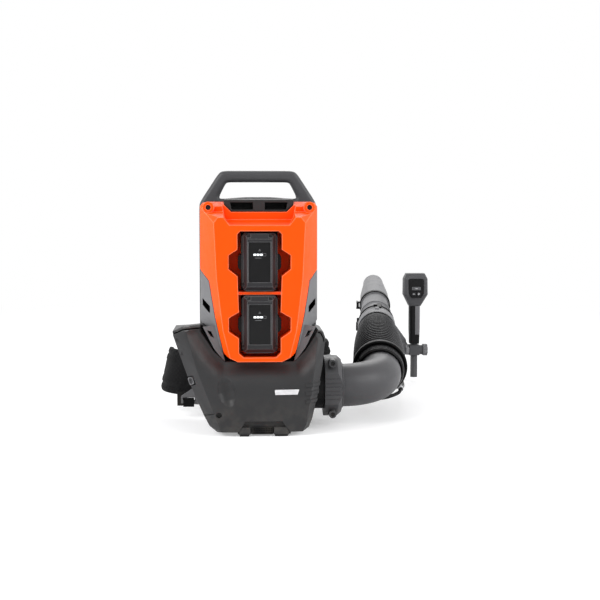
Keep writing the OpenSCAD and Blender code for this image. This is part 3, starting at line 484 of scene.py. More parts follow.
@dataclass(frozen=True)
class Rubber(Finish):
    """Matt rubber or soft plastic with a faint bloom on it."""

    grain: float = 2.2
    bloom: float = 0.5
    specular: float = 0.5
    pebble: float = 0.12
    # Colour of the painted highlight on the crests of ribs, or nothing.
    crest_highlight: Optional[Colour] = None
    bloom_step: float = 16.0
    gloss_drift: float = 0.2

    def build(self, bench: Bench) -> bpy.types.Material:
        """Mixes a paler bloom in, in patches, paints a highlight on the crests of ribs and adds a fine
        pebble.

        Args:
            bench: Where its nodes are made.

        Returns:
            The material.
        """
        patch = bench.noise(45, 4).between(0.35, 0.75)
        pale = paler(self.colour, self.bloom_step)
        colour = bench.blend(linear(self.colour), pale, patch * self.bloom)
        # Painted highlight: the crests of the ribs get a paler colour that stands in for light catching them,
        # against the dark grooves.
        if self.crest_highlight:
            crest = bench.shade("ShaderNodeAttribute", {"attribute_name": "crest"}, {}, "Fac")
            colour = bench.blend(colour, linear(self.crest_highlight), crest.between(0.75, 1.0))
        rough = self.roughness + (bench.noise(12, 3) - 0.5) * self.gloss_drift
        return bench.surface(
            Base_Color=colour,
            Roughness=rough,
            Normal=bench.bump(bench.noise(self.grain, 2), self.pebble, self.edge),
            Specular_IOR_Level=self.specular,
        )


@dataclass(frozen=True)
class Metal(Finish):
    """Bare metal with fine lines from drawing or turning, and tarnish in patches."""

    stretch: Triple = (1.0, 1.0, 12.0)
    tarnished: float = 0.7
    line_gloss: float = 0.25
    line_depth: float = 0.03
    tarnish_rough: float = 0.12

    def build(self, bench: Bench) -> bpy.types.Material:
        """Draws the lines as a stretched noise in gloss and bump, and the tarnish in the colour.

        Args:
            bench: Where its nodes are made.

        Returns:
            The material.
        """
        lines = bench.noise(3, 3, self.stretch)
        tarnish = bench.noise(30, 4).between(0.4, 0.8)
        colour = bench.blend(linear(self.colour), linear(self.colour, self.tarnished), tarnish)
        rough = self.roughness + (lines - 0.5) * self.line_gloss + tarnish * self.tarnish_rough
        return bench.surface(
            Base_Color=colour,
            Roughness=rough,
            Metallic=1.0,
            Normal=bench.bump(lines, self.line_depth, self.edge),
        )


@dataclass(frozen=True)
class Weave(Finish):
    """Woven cloth: two sets of threads that pass over and under each other.

    A thread's height is the size of a sine across it; a second, slower pair of sines says which
    set lies on top.
    """

    pitch: float = 2.4
    depth: float = 0.6
    axes: tuple[str, str] = ("X", "Z")
    source: Map = Map.OBJECT
    # Gains of the painted shade between the threads and of the painted highlight on their tops.
    shadow: float = 0.55
    lit: float = 1.25
    fluff_step: float = 14.0
    fluff_share: float = 0.35
    sheen: float = 0.05

    def build(self, bench: Bench) -> bpy.types.Material:
        """Weaves the threads in bump, paints shade between the threads and a highlight on their tops into the
        colour, and adds a soft sheen.

        Args:
            bench: Where its nodes are made.

        Returns:
            The material.
        """
        rate = math.pi / (self.pitch * MM)
        across = bench.axis(self.axes[0], self.source) * rate
        along = bench.axis(self.axes[1], self.source) * rate
        warp, weft = across.sine().size(), along.sine().size()
        over = ((across * 0.5).sine() * (along * 0.5).sine()).between(-0.2, 0.2)
        height = warp * over + weft * (1 - over)
        fluff = bench.noise(14, 3).between(0.3, 0.8)
        # Painted shade and highlight: a darker copy of the colour between the threads and a lighter one on
        # their tops.
        colour = bench.blend(linear(self.colour, self.shadow), linear(self.colour, self.lit), height)
        worn = bench.blend(colour, paler(self.colour, self.fluff_step), fluff * self.fluff_share)
        rough = self.roughness + fluff * 0.1
        return bench.surface(
            Base_Color=worn,
            Roughness=rough,
            Normal=bench.bump(height, self.depth),
            Sheen_Weight=self.sheen,
            Sheen_Roughness=0.5,
            Specular_IOR_Level=0.12,
        )


@dataclass(frozen=True)
class Gloss(Finish):
    """A smooth glossy film or key under a clear coat, with faint smears."""

    coat: float = 0.6
    smear_gain: float = 1.25
    smear_rough: float = 0.12
    wave_depth: float = 0.05

    def build(self, bench: Bench) -> bpy.types.Material:
        """Smears the gloss a little and lets the coat carry the highlight.

        Args:
            bench: Where its nodes are made.

        Returns:
            The material.
        """
        smear = bench.noise(16, 4, (1.0, 1.0, 2.0)).between(0.4, 0.75)
        colour = bench.blend(linear(self.colour), linear(self.colour, self.smear_gain), smear)
        return bench.surface(
            Base_Color=colour,
            Roughness=self.roughness + smear * self.smear_rough,
            Coat_Weight=self.coat,
            Normal=bench.bump(bench.noise(18, 1), self.wave_depth, self.edge),
            Specular_IOR_Level=0.2,
        )


@dataclass(frozen=True)
class Lamp(Finish):
    """A lit charge segment behind a milky window."""

    strength: float = 0.85

    def build(self, bench: Bench) -> bpy.types.Material:
        """Lets the light vary a little across the window.

        Args:
            bench: Where its nodes are made.

        Returns:
            The material.
        """
        spread = bench.noise(4, 1).between(0.2, 0.8)
        glow = bench.blend(linear(self.colour, 0.85), linear(self.colour), spread)
        return bench.surface(
            Base_Color=glow,
            Emission_Color=glow,
            Emission_Strength=self.strength,
            Roughness=self.roughness + spread * 0.05,
        )


# The orange shell carries a painted highlight along its edges.
ORANGE = Moulded(
    "satin_orange", "orange_shell", (251, 78, 3), 0.42, 2.6,
    grain_depth=0.02, mottle=0.03, specular=0.12, rub=0.5,
)
DARK = Moulded("dark_grey_moulding", "dark_shell", (41, 41, 42), 0.38, 2.6, grain_depth=0.03)
FRAME_GREY = Moulded("frame_grey_moulding", "grey_frame", (65, 65, 67), 0.38, 2.0, grain_depth=0.03)
GRILLE = Moulded("grille_grey_moulding", "grille_grey", (100, 100, 102), 0.48, 1.6)
PIPE = Moulded("pipe_grey_moulding", "pipe_grey", (118, 118, 120), 0.46, 0.8, scuffs=0.2, specular=0.2)
BLACK = Moulded("black_moulding", "black_plastic", (13, 13, 14), 0.46, 0.8, specular=0.18)
# The battery case carries a painted highlight along its edges.
CASE = Moulded("battery_moulding", "battery_case", (38, 38, 40), 0.42, 1.6, specular=0.25, rub=0.35)
SCREW_BLACK = Moulded("oxide_screw", "black_plastic", (16, 16, 17), 0.36, 0.4, grain_depth=0.01)
GRIP = TwoShot(
    "grip_moulding", "black_plastic", (12, 12, 13), 0.5, 1.2, specular=0.15,
    second=(96, 96, 98), split=431.5, below=128.0,
)
LABEL = Gloss("label_film", "charge_label", (12, 12, 13), 0.3, 0.3, coat=0.1)
KEY = Gloss("key_cap", "key_grey", (76, 76, 78), 0.36, 0.6, coat=0.1)
DARK_KEY = Gloss("dark_key_cap", "key_grey", (22, 22, 24), 0.4, 0.6, coat=0.1)
LIT = Lamp("lit_segment", "charge_label", (235, 240, 242), 0.3)
MARK = Gloss("panel_mark", "key_grey", (104, 104, 106), 0.4, coat=0.1)
WHITE_MARK = Gloss("key_mark", "key_grey", (190, 190, 192), 0.4, coat=0.1)
PLATE = Gloss("bare_plate", "key_grey", (200, 200, 202), 0.36, coat=0.1)
# The hose's ribs carry a painted highlight on their crests.
HOSE = Rubber(
    "hose_rubber", "black_rubber", (6, 6, 7), 0.3,
    bloom=0.2, specular=0.18, pebble=0.03, crest_highlight=(66, 66, 68),
)
FOOT = Rubber("foot_rubber", "black_rubber", (14, 14, 15), 0.7)
STEEL = Metal("steel_bright", "steel", (196, 197, 200), 0.28)
ALUMINIUM = Metal("aluminium_cast", "aluminium", (160, 161, 163), 0.45, stretch=(1.0, 1.0, 1.0))
# The cloths carry painted shade between the threads and a painted highlight on their tops.
MESH_CLOTH = Weave("spacer_mesh", "black_fabric", (9, 9, 10), 0.85, pitch=2.6, depth=0.7)
STRAP_CLOTH = Weave(
    "strap_cloth", "black_fabric", (17, 17, 18), 0.8, pitch=2.2, depth=0.5, axes=("X", "Y"), source=Map.CLOTH,
)
WEBBING = Weave(
    "webbing", "black_fabric", (15, 15, 16), 0.75, pitch=1.6, depth=0.5, axes=("X", "Y"), source=Map.CLOTH,
)


# ---------------------------------------------------------------------------------------------
# Surfaces worked out with numpy
# ---------------------------------------------------------------------------------------------


def rounded(outline: Sequence[Sequence[float]], radius: float, steps: int = 5) -> Points:
    """Rounds the corners of a closed flat outline.

    A corner P between A and B becomes the parabola (1-t)^2 S + 2t(1-t) P + t^2 E, where S and E
    lie on its two sides, a radius or CORNER_SHARE of the side away from it.

    Args:
        outline: The corners in order.
        radius: How far from a corner its rounding starts.
        steps: Points in each corner.

    Returns:
        The outline's points.
    """
    p = np.asarray(outline, float)
    before, after = np.roll(p, 1, 0) - p, np.roll(p, -1, 0) - p
    reach = [np.minimum(radius, CORNER_SHARE * np.linalg.norm(v, axis=1))[:, None] for v in (before, after)]
    start = p + before / np.linalg.norm(before, axis=1)[:, None] * reach[0]
    end = p + after / np.linalg.norm(after, axis=1)[:, None] * reach[1]
    t = np.linspace(0, 1, steps)[None, :, None]
    curve = (1 - t) ** 2 * start[:, None] + 2 * t * (1 - t) * p[:, None] + t**2 * end[:, None]
    flat = curve.reshape(-1, p.shape[1])
    keep = np.linalg.norm(flat - np.roll(flat, 1, 0), axis=1) > 1e-6
    return flat[keep]


def smooth_path(points: Sequence[Sequence[float]], steps: int) -> Points:
    """A Catmull-Rom curve: each span is the cubic through its ends with the neighbours' slopes.

    Args:
        points: The points that it passes through.
        steps: Points in each span.

    Returns:
        The curve's points.
    """
    p = np.asarray(points, float)
    q = np.vstack([2 * p[0] - p[1], p, 2 * p[-1] - p[-2]])
    a, b, c, d = (q[i : len(q) - 3 + i][:, None] for i in range(4))
    t = np.linspace(0, 1, steps, endpoint=False)[None, :, None]
    curve = 0.5 * (2 * b + (c - a) * t + (2 * a - 5 * b + 4 * c - d) * t**2 + (3 * b - a - 3 * c + d) * t**3)
    return np.vstack([curve.reshape(-1, p.shape[1]), p[-1]])


def oval(width: float, height: float, sides: int, power: float) -> Points:
    """A superellipse: each coordinate is a power of the cosine or sine, with its sign.

    Args:
        width: Size along the first axis.
        height: Size along the second.
        sides: Number of points.
        power: 1 is an ellipse, and a smaller value is squarer.

    Returns:
        The section's points.
    """
    a = np.linspace(0, 2 * math.pi, sides, endpoint=False) + math.pi / sides
    c, s = np.cos(a), np.sin(a)
    x = width / 2 * np.sign(c) * np.abs(c) ** power
    y = height / 2 * np.sign(s) * np.abs(s) ** power
    return np.stack([x, y], 1)


def turned(profile: Points) -> Points:
    """A profile of radius and height turned about Z: (r cos a, r sin a, h).

    Args:
        profile: Radius and height of each point.

    Returns:
        A grid of points, one ring per profile point.
    """
    a = np.linspace(0, 2 * math.pi, ROUND_STEPS, endpoint=False)
    r, h = profile[:, :1], profile[:, 1:2]
    return np.stack([r * np.cos(a), r * np.sin(a), np.broadcast_to(h, (len(r), ROUND_STEPS))], 2)


def carried(path: Points, section: Points, up: Sequence[float] = (0.0, 0.0, 1.0)) -> Points:
    """A section carried along a path: p + u (t x up) + v ((t x up) x t), with t the path's direction.

    Args:
        path: Points of the path.
        section: One section for the whole path, or one for each of its points.
        up: Direction that the section's first axis is square to.

    Returns:
        A grid of points, one ring per path point.
    """
    t = np.gradient(path, axis=0)
    t /= np.linalg.norm(t, axis=1)[:, None]
    a = np.cross(t, np.asarray(up, float))
    a /= np.linalg.norm(a, axis=1)[:, None]
    b = np.cross(a, t)
    s = np.broadcast_to(section, (len(path), *section.shape[-2:]))
    return path[:, None] + s[..., :1] * a[:, None] + s[..., 1:2] * b[:, None]


def arc_lengths(points: Points, axis: int) -> Points:
    """Distance along one direction of a grid, from its first row or column.

    Args:
        points: The grid.
        axis: 0 for the way across the rows, 1 for the way across the columns.

    Returns:
        The distance at each of its points.
    """
    step = np.linalg.norm(np.diff(points, axis=axis), axis=2)
    pad = [(1, 0), (0, 0)] if axis == 0 else [(0, 0), (1, 0)]
    return np.cumsum(np.pad(step, pad), axis=axis)


def grid_mesh(name: str, grid: Points, loop: bool = False) -> bpy.types.Mesh:
    """Makes a closed mesh from a grid whose rows are rings, with a UV map in metres along both ways.

    Args:
        name: The mesh's name.
        grid: Points by row and column, in millimetres.
        loop: Whether the last row joins the first one; if not, both are filled.

    Returns:
        The mesh, in metres.
    """
    n, m = grid.shape[:2]
    rows = np.arange(n if loop else n - 1)[:, None]
    cols = np.arange(m)[None, :]
    nr, nc = (rows + 1) % n, (cols + 1) % m
    quads = np.stack([rows * m + cols, rows * m + nc, nr * m + nc, nr * m + cols], 2).reshape(-1, 4)
    faces = quads.tolist()
    if not loop:
        faces += [list(range(m))[::-1], list(range((n - 1) * m, n * m))]
    mesh = bpy.data.meshes.new(name)
    mesh.from_pydata((grid.reshape(-1, 3) * MM).tolist(), [], faces)
    u, v = arc_lengths(grid, 0) * MM, arc_lengths(grid, 1) * MM
    corner = np.zeros(len(mesh.loops), np.int32)
    mesh.loops.foreach_get("vertex_index", corner)
    uv = np.stack([v.reshape(-1)[corner], u.reshape(-1)[corner]], 1)
    mesh.uv_layers.new(name="cloth").data.foreach_set("uv", uv.astype(np.float32).reshape(-1))
    return mesh


def plate_mesh(
    name: str, outline: Points, holes: Sequence[Points], depth: Pair, edge: float,
) -> bpy.types.Mesh:
    """A plate in X and Z with rounded rims and holes.

    Each rim is a quarter circle at both faces: the outline moved in by r (1 - sin a) along its own
    normals while Y moves by r (1 - cos a). The faces between the rims are filled.

    Args:
        name: The mesh's name.
        outline: Outer outline.
        holes: Outlines of the holes.
        depth: Y of the front and of the back.
        edge: Radius of the rims.

    Returns:
        The mesh, in metres.
    """
    turn = np.linspace(0, math.pi / 2, 6)
    inwards, along = edge * (1 - np.sin(turn)), edge * (1 - np.cos(turn))
    inset = np.concatenate([inwards, inwards[::-1]])
    place = np.concatenate([depth[0] + along, (depth[1] - along)[::-1]])
    verts, faces, rims, start = [], [], [[], []], 0
    for k, loop in enumerate([outline, *holes]):
        way = np.roll(loop, -1, 0) - np.roll(loop, 1, 0)
        normal = np.stack([-way[:, 1], way[:, 0]], 1) / np.linalg.norm(way, axis=1)[:, None]
        nxt = np.roll(loop, -1, 0)
        area = np.sum(loop[:, 0] * nxt[:, 1] - nxt[:, 0] * loop[:, 1])
        inward = normal * (1 if (area > 0) == (k == 0) else -1)
        rings = loop[None] + inset[:, None, None] * inward[None]
        ys = np.broadcast_to(place[:, None, None], (*rings.shape[:2], 1))
        verts.append(np.concatenate([rings[..., :1], ys, rings[..., 1:]], 2).reshape(-1, 3))
        m, n = len(loop), len(inset)
        r, c = np.arange(n - 1)[:, None], np.arange(m)[None]
        quads = np.stack([r * m + c, r * m + (c + 1) % m, (r + 1) * m + (c + 1) % m, (r + 1) * m + c], 2)
        faces += (quads.reshape(-1, 4) + start).tolist()
        rims[0].append((rings[0], start))
        rims[1].append((rings[-1], start + (n - 1) * m))
        start += n * m
    for rim in rims:
        index = np.concatenate([first + np.arange(len(points)) for points, first in rim])
        fill = tessellate_polygon([[Vector((*q, 0)) for q in points] for points, _ in rim])
        faces += [[int(index[i]) for i in tri] for tri in fill]
    mesh = bpy.data.meshes.new(name)
    mesh.from_pydata((np.concatenate(verts) * MM).tolist(), [], faces)
    return mesh


def outwards(mesh: bpy.types.Mesh) -> bpy.types.Mesh:
    """Merges doubles and turns the faces of a closed mesh outwards.

    Args:
        mesh: The mesh, which is changed.

    Returns:
        The same mesh.
    """
    shape = bmesh.new()
    shape.from_mesh(mesh)
    bmesh.ops.remove_doubles(shape, verts=shape.verts, dist=MERGE * MM)
    bmesh.ops.recalc_face_normals(shape, faces=shape.faces)
    shape.to_mesh(mesh)
    shape.free()
    return mesh


def joined(meshes: Sequence[bpy.types.Mesh]) -> bpy.types.Mesh:
    """Puts several meshes into one.

    Args:
        meshes: The meshes, which are used up.

    Returns:
        The new mesh.
    """
    shape = bmesh.new()
    for mesh in meshes:
        shape.from_mesh(mesh)
        bpy.data.meshes.remove(mesh)
    made = bpy.data.meshes.new("joined")
    shape.to_mesh(made)
    shape.free()
    return made


def box_outline(centre: Pair, size: Pair, radius: float) -> Points:
    """A flat rectangle with round corners.

    Args:
        centre: Its middle.
        size: Its width and height.
        radius: How far from a corner its rounding starts.

    Returns:
        The outline's points.
    """
    x, z = size[0] / 2, size[1] / 2
    corners = [[-x, -z], [x, -z], [x, z], [-x, z]]
    return rounded(corners, radius) + np.asarray(centre, float)


def mirrored(half: Sequence[Sequence[float]]) -> Points:
    """The right half of an outline and its mirror image, in order."""
    right = np.asarray(half, float)
    return np.vstack([right, right[::-1] * [-1, 1]])


def puff(made: bpy.types.Object, pinned: Points, cap: float, pressure: float = 4.0) -> None:
    """Inflates a padded piece with a cloth simulation and applies the result.

    Seams and the side that lies on something are pinned, so that the cloth swells between them and
    creases beside them. No point moves further than the cap.

    Args:
        made: The piece; its mesh has the unstuffed shape.
        pinned: How firmly each vertex is held, 0 to 1.
        cap: The most that a point may move, in millimetres.
        pressure: Pressure inside.
    """
    group = made.vertex_groups.new(name="pinned")
    for index, weight in enumerate(pinned):
        if weight > 0:
            group.add([index], float(weight), "REPLACE")
    cloth = made.modifiers.new("stuffing", "CLOTH")
    settings = cloth.settings
    settings.quality = 5
    settings.mass = 0.2
    settings.tension_stiffness = settings.compression_stiffness = 12
    settings.shear_stiffness = 6
    settings.bending_stiffness = 0.3
    settings.vertex_group_mass = "pinned"
    settings.use_pressure = True
    settings.uniform_pressure_force = pressure
    settings.shrink_min = -0.02
    settings.effector_weights.gravity = 0
    cloth.point_cache.frame_end = SIMULATED_FRAMES
    scene = bpy.context.scene
    for step in range(1, SIMULATED_FRAMES + 1):
        scene.frame_set(step)
    graph = bpy.context.evaluated_depsgraph_get()
    result = made.evaluated_get(graph).to_mesh()
    count = len(made.data.vertices) * 3
    before, after = np.zeros(count, np.float32), np.zeros(count, np.float32)
    made.data.vertices.foreach_get("co", before)
    result.vertices.foreach_get("co", after)
    move = (after - before).reshape(-1, 3)
    far = np.linalg.norm(move, axis=1)[:, None]
    move *= np.minimum(1, cap * MM / np.maximum(far, 1e-9))
    made.evaluated_get(graph).to_mesh_clear()
    made.modifiers.remove(cloth)
    made.vertex_groups.clear()
    made.data.vertices.foreach_set("co", (before.reshape(-1, 3) + move).reshape(-1))
    made.data.update()
    scene.frame_set(1)


def node_box(node: str) -> tuple[Points, Points]:
    """A node's lowest and highest corner, in millimetres."""
    low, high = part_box(node)
    return np.asarray(low) / MM, np.asarray(high) / MM


def merged_copy(node: str) -> tuple[bpy.types.Mesh, bmesh.types.BMesh]:
    """Copies a node's mesh and merges its loose triangles.

    Args:
        node: The node's name.

    Returns:
        The copy as it was, without materials, and its merged shape, which goes into it at the end.
    """
    mesh = frame["nodes"][node].data.copy()
    mesh.materials.clear()
    shape = bmesh.new()
    shape.from_mesh(mesh)
    bmesh.ops.remove_doubles(shape, verts=shape.verts, dist=MERGE * MM)
    return mesh, shape


def softened(node: str, width: float) -> bpy.types.Mesh:
    """Copies a node's mesh and marks its sharp edges for rounding.

    An edge's weight is BEVEL_SHARE of the shortest neighbouring edge over the width, at most 1, so
    that roundings never meet.

    Args:
        node: The node's name.
        width: The rounding that an edge with room gets.

    Returns:
        The copy, with a bevel weight on each edge.
    """
    mesh, shape = merged_copy(node)
    bmesh.ops.dissolve_limit(
        shape, angle_limit=math.radians(1.0), verts=shape.verts, edges=shape.edges,
        delimit={"NORMAL"}, use_dissolve_boundaries=False,
    )
    layers = shape.edges.layers.float
    layer = layers.get("bevel_weight_edge") or layers.new("bevel_weight_edge")
    limit = math.radians(SHARP)
    for edge in shape.edges:
        hard = len(edge.link_faces) == 2 and edge.calc_face_angle(0) > limit
        if not hard:
            edge.smooth = len(edge.link_faces) == 2
            continue
        near = [e.calc_length() for v in edge.verts for e in v.link_edges if e is not edge]
        room = BEVEL_SHARE * min(near + [edge.calc_length()]) / (width * MM)
        edge[layer] = min(1.0, room)
        edge.smooth = edge[layer] > 0.08
    shape.to_mesh(mesh)
    shape.free()
    return mesh


def creased(node: str, mould: Optional["Mould"]) -> bpy.types.Mesh:
    """Copies a node's mesh, merges its loose triangles and marks its sharp edges.

    Args:
        node: The node's name.
        mould: What gives the copy's flat faces their crown, or nothing.

    Returns:
        The copy.
    """
    mesh, shape = merged_copy(node)
    if mould:
        mould.slice(shape)
        shape.to_mesh(mesh)
        shape.clear()
        shape.from_mesh(mould.moved(mesh))
    limit = math.radians(SHARP)
    for edge in shape.edges:
        edge.smooth = len(edge.link_faces) == 2 and edge.calc_face_angle(0) < limit
    shape.to_mesh(mesh)
    shape.free()
    return mesh


@dataclass
class Mould:
    """Crowns the flat front of a shell and lets it fall back round an opening."""

    opening: Sequence[Sequence[float]]
    tuck: float = 27.0
    tuck_width: float = 27.0
    crown: float = 9.0
    middle: float = -12.0
    half: float = 120.0
    front: float = -130.0
    depth: float = 95.0
    step: float = 5.0

    def slice(self, shape: bmesh.types.BMesh) -> None:
        """Cuts a mesh along evenly spaced planes across X and Z, so that its faces can bend.

        Args:
            shape: The mesh's shape, which is changed.
        """
        low = np.min([v.co for v in shape.verts], axis=0) / MM
        high = np.max([v.co for v in shape.verts], axis=0) / MM
        for axis in (0, 2):
            normal = np.eye(3)[axis]
            for place in np.arange(low[axis] + self.step, high[axis], self.step):
                parts = [*shape.verts, *shape.edges, *shape.faces]
                spot = normal * place * MM
                bmesh.ops.bisect_plane(shape, geom=parts, dist=1e-6, plane_co=spot, plane_no=normal)

    def fall(self, x: Points, z: Points) -> Points:
        """How far the front lies back at a place.

        That is a crown, c ((x - m) / h)^2, and a tuck round the opening, t exp(-(d / w)^2), with d
        the distance to the opening's outline.

        Args:
            x: X of each place.
            z: Z of each place.

        Returns:
            The distance at each place.
        """
        a = np.asarray(self.opening, float)
        b = np.roll(a, -1, 0)
        spot = np.stack([x, z], -1)[..., None, :]
        run = b - a
        share = np.clip(((spot - a) * run).sum(-1) / (run * run).sum(-1), 0, 1)
        away = np.linalg.norm(spot - a - share[..., None] * run, axis=-1).min(-1)
        crown = self.crown * ((x - self.middle) / self.half) ** 2
        return crown + self.tuck * np.exp(-((away / self.tuck_width) ** 2))

    def moved(self, mesh: bpy.types.Mesh) -> bpy.types.Mesh:
        """Moves a mesh back by the fall, fully at the front and not at all past the depth.

        Args:
            mesh: The mesh, which is changed.

        Returns:
            The same mesh.
        """
        points = np.zeros(len(mesh.vertices) * 3, np.float32)
        mesh.vertices.foreach_get("co", points)
        x, y, z = (points / MM).reshape(-1, 3).T
        share = np.clip((self.front + self.depth - y) / self.depth, 0, 1)
        points[1::3] += share * self.fall(x, z) * MM
        mesh.vertices.foreach_set("co", points)
        return mesh


# ---------------------------------------------------------------------------------------------
# Pieces
# ---------------------------------------------------------------------------------------------


class SubAssembly:
    """What belongs together on the machine. It makes pieces, dresses nodes and logs both."""

    def dress(self, node: str, finish: Finish) -> None:
        """Gives a node that stays a finish.

        Args:
            node: The node's name.
            finish: Its finish.
        """
        shown = frame["nodes"][node]
        shown.data.materials.clear()
        shown.data.materials.append(finish.material())
        LOG.info("dressed %s in %s", node, finish.name)

    def piece(
        self, name: str, mesh: bpy.types.Mesh, finish: Finish, body: str, *stands_for: str, ride: bool = True,
    ) -> bpy.types.Object:
        """Adds a new piece.

        Args:
            name: Its name.
            mesh: Its mesh, in place.
            finish: Its finish.
            body: The body that it moves with.
            *stands_for: The nodes that it replaces.
            ride: Whether it rides on the body at once.

        Returns:
            The piece.
        """
        made = bpy.data.objects.new(name, mesh)
        bpy.context.scene.collection.objects.link(made)
        mesh.name = name
        mesh.materials.clear()
        mesh.materials.append(finish.material())
        mesh.polygons.foreach_set("use_smooth", np.ones(len(mesh.polygons), bool))
        mesh.update()
        if ride:
            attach(made, body)
        if stands_for:
            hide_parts(*stands_for)
        LOG.info("made %s for %s, on %s", name, ", ".join(stands_for) or "no node", body)
        return made

    def soften(
        self, node: str, finish: Finish, body: str, width: float = 1.2,
        edges: Edges = Edges.CUT, mould: Optional[Mould] = None,
    ) -> None:
        """Replaces a node by its own form with rounded edges.

        Args:
            node: The node's name.
            finish: Its finish.
            body: The body that it moves with.
            width: Width of a rounding that is cut.
            edges: Whether the rounding is cut into the mesh or only shaded.
            mould: What gives a shaded copy's flat faces their crown, or nothing.
        """
        if edges is Edges.SHADED:
            made = self.piece(node + "_moulding", creased(node, mould), finish, body, node)
        else:
            made = self.piece(node + "_moulding", softened(node, width), finish, body, node)
            bevel = made.modifiers.new("rounding", "BEVEL")
            bevel.width = width * MM
            bevel.segments = 3
            bevel.limit_method = "WEIGHT"
            bevel.use_clamp_overlap = False
        settle_normals(made)

    def shaded(self, finish: Finish, body: str, *nodes: str) -> None:
        """Replaces nodes by their own forms, with edges that are rounded in the shading.

        Args:
            finish: Their finish.
            body: The body that they move with.
            *nodes: The nodes' names.
        """
        for node in nodes:
            self.soften(node, finish, body, edges=Edges.SHADED)


def settle_normals(made: bpy.types.Object) -> None:
    """Adds the modifier that keeps flat faces flat beside rounded ones.

    Args:
        made: The piece.
    """
    weighted = made.modifiers.new("flat_faces", "WEIGHTED_NORMAL")
    weighted.keep_sharp = True
    weighted.weight = 80


@dataclass
class UpperBody(SubAssembly):
    """The orange battery cover with the vent panel, the side grilles and the core behind them."""

    body: str = "backpack"
    foot: Outline = ((117, 223), (113, 216), (94, 178), (70, 147), (74, 163), (83, 200), (91, 226))
    foot_slot: Outline = ((108, 216), (100, 214), (93, 200), (101, 204))
    foot_y: Pair = (-97.0, -93.0)
    foot_edge: float = 0.3

    def build(self) -> None:
        """Builds the cover, the panels and what shows through them."""
        self.shaded(ORANGE, self.body, "battery_cover")
        self.shaded(DARK, self.body, "top_vent_panel")
        self.shaded(GRILLE, self.body, "side_grille_left", "side_grille_right")
        self.grille_feet()
        self.shaded(DARK, self.body, "core_housing")
        self.dress("battery_bay", BLACK)
        self.dress("controller_box", ALUMINIUM)
        self.soften("cover_screws", SCREW_BLACK, self.body, 0.5)

    def grille_feet(self) -> None:
        """The grilles' lower ends, which run down behind the rim of the bowl, each with a slot."""
        for side in Side:
            rim, slot = (np.asarray(loop, float) * [side.value, 1] for loop in (self.foot, self.foot_slot))
            mesh = outwards(plate_mesh("foot", rim, [slot], self.foot_y, self.foot_edge))
            self.piece(f"grille_foot_{side.label}", mesh, GRILLE, self.body)


@dataclass
class LowerHousing(SubAssembly):
    """The dark lower housing with its base, feet, grilles and screws."""

    body: str = "backpack"
    bowl: Outline = ((72, 151), (94, 172), (122, 214), (122, 330))
    plate: Outline = ((31, 86), (77, 86), (80.5, 96.5), (30, 96.5))
    plate_corner: float = 1.6
    plate_y: Pair = (-0.7, 0.5)
    plate_edge: float = 0.3
    catch_place: Pair = (-141.0, 112.0)
    catch_size: Pair = (11.0, 16.0)
    catch_y: Pair = (-111.0, -101.0)
    catch_corner: float = 3.0
    catch_edge: float = 1.2
    catch_lean: float = 19.4
    hollow_cut: float = 5.0
    hollow_depth: float = 5.0

    def build(self) -> None:
        """Builds the shells and the base."""
        crowned = Mould(mirrored(self.bowl))
        self.soften("fan_housing_front", DARK, self.body, edges=Edges.SHADED, mould=crowned)
        self.shaded(DARK, self.body, "fan_housing_rear", "base_frame")
        self.catch(crowned)
        self.soften("rubber_feet", FOOT, self.body, 1.0)
        self.shaded(BLACK, self.body, "drain_grille", "intake_grille")
        self.soften("housing_screws", SCREW_BLACK, self.body, 0.5)
        self.bare_plate(crowned)

    def bare_plate(self, crowned: Mould) -> None:
        """The pale plate on the housing's face, without words.

        Args:
            crowned: What shifts the face that it lies on.
        """
        front = node_box("fan_housing_front")[0][1]
        low, high = self.plate_y
        outline = rounded(self.plate, self.plate_corner)
        plate = plate_mesh("plate", outline, [], (front + low, front + high), self.plate_edge)
        self.piece("bare_plate", outwards(crowned.moved(plate)), PLATE, self.body)

    def catch_outline(self, cut: float) -> Points:
        """The grip's outline, smaller by a cut, at its lean and place.

        Args:
            cut: How much narrower and lower it is.

        Returns:
            The outline's points.
        """
        lean = math.radians(self.catch_lean)
        turn = np.array([[math.cos(lean), -math.sin(lean)], [math.sin(lean), math.cos(lean)]])
        w, h = self.catch_size
        return box_outline((0, 0), (w - cut, h - cut), self.catch_corner) @ turn.T + self.catch_place

    def catch(self, crowned: Mould) -> None:
        """The pale grip in the left flank's recess, a round-edged block with a hollow in its middle.

        Args:
            crowned: What shifts the flank that it lies in.
        """
        low, high = self.catch_y
        rim, hollow, floor = (self.catch_outline(cut) for cut in (0, self.hollow_cut, 2))
        plates = [
            plate_mesh("rim", rim, [hollow], (low, high), self.catch_edge),
            plate_mesh("floor", floor, [], (low + self.hollow_depth, high), 1.0),
        ]
        self.piece("flank_grip", outwards(crowned.moved(joined(plates))), GRILLE, self.body)


@dataclass
class FanUnit(SubAssembly):
    """The fan's scroll, impeller and motor."""

    def build(self) -> None:
        """Dresses the parts inside."""
        self.dress("fan_scroll", BLACK)
        self.dress("impeller", FRAME_GREY)
        self.dress("motor_rotor", STEEL)
        self.dress("motor_stator", ALUMINIUM)
        self.dress("bearings", STEEL)


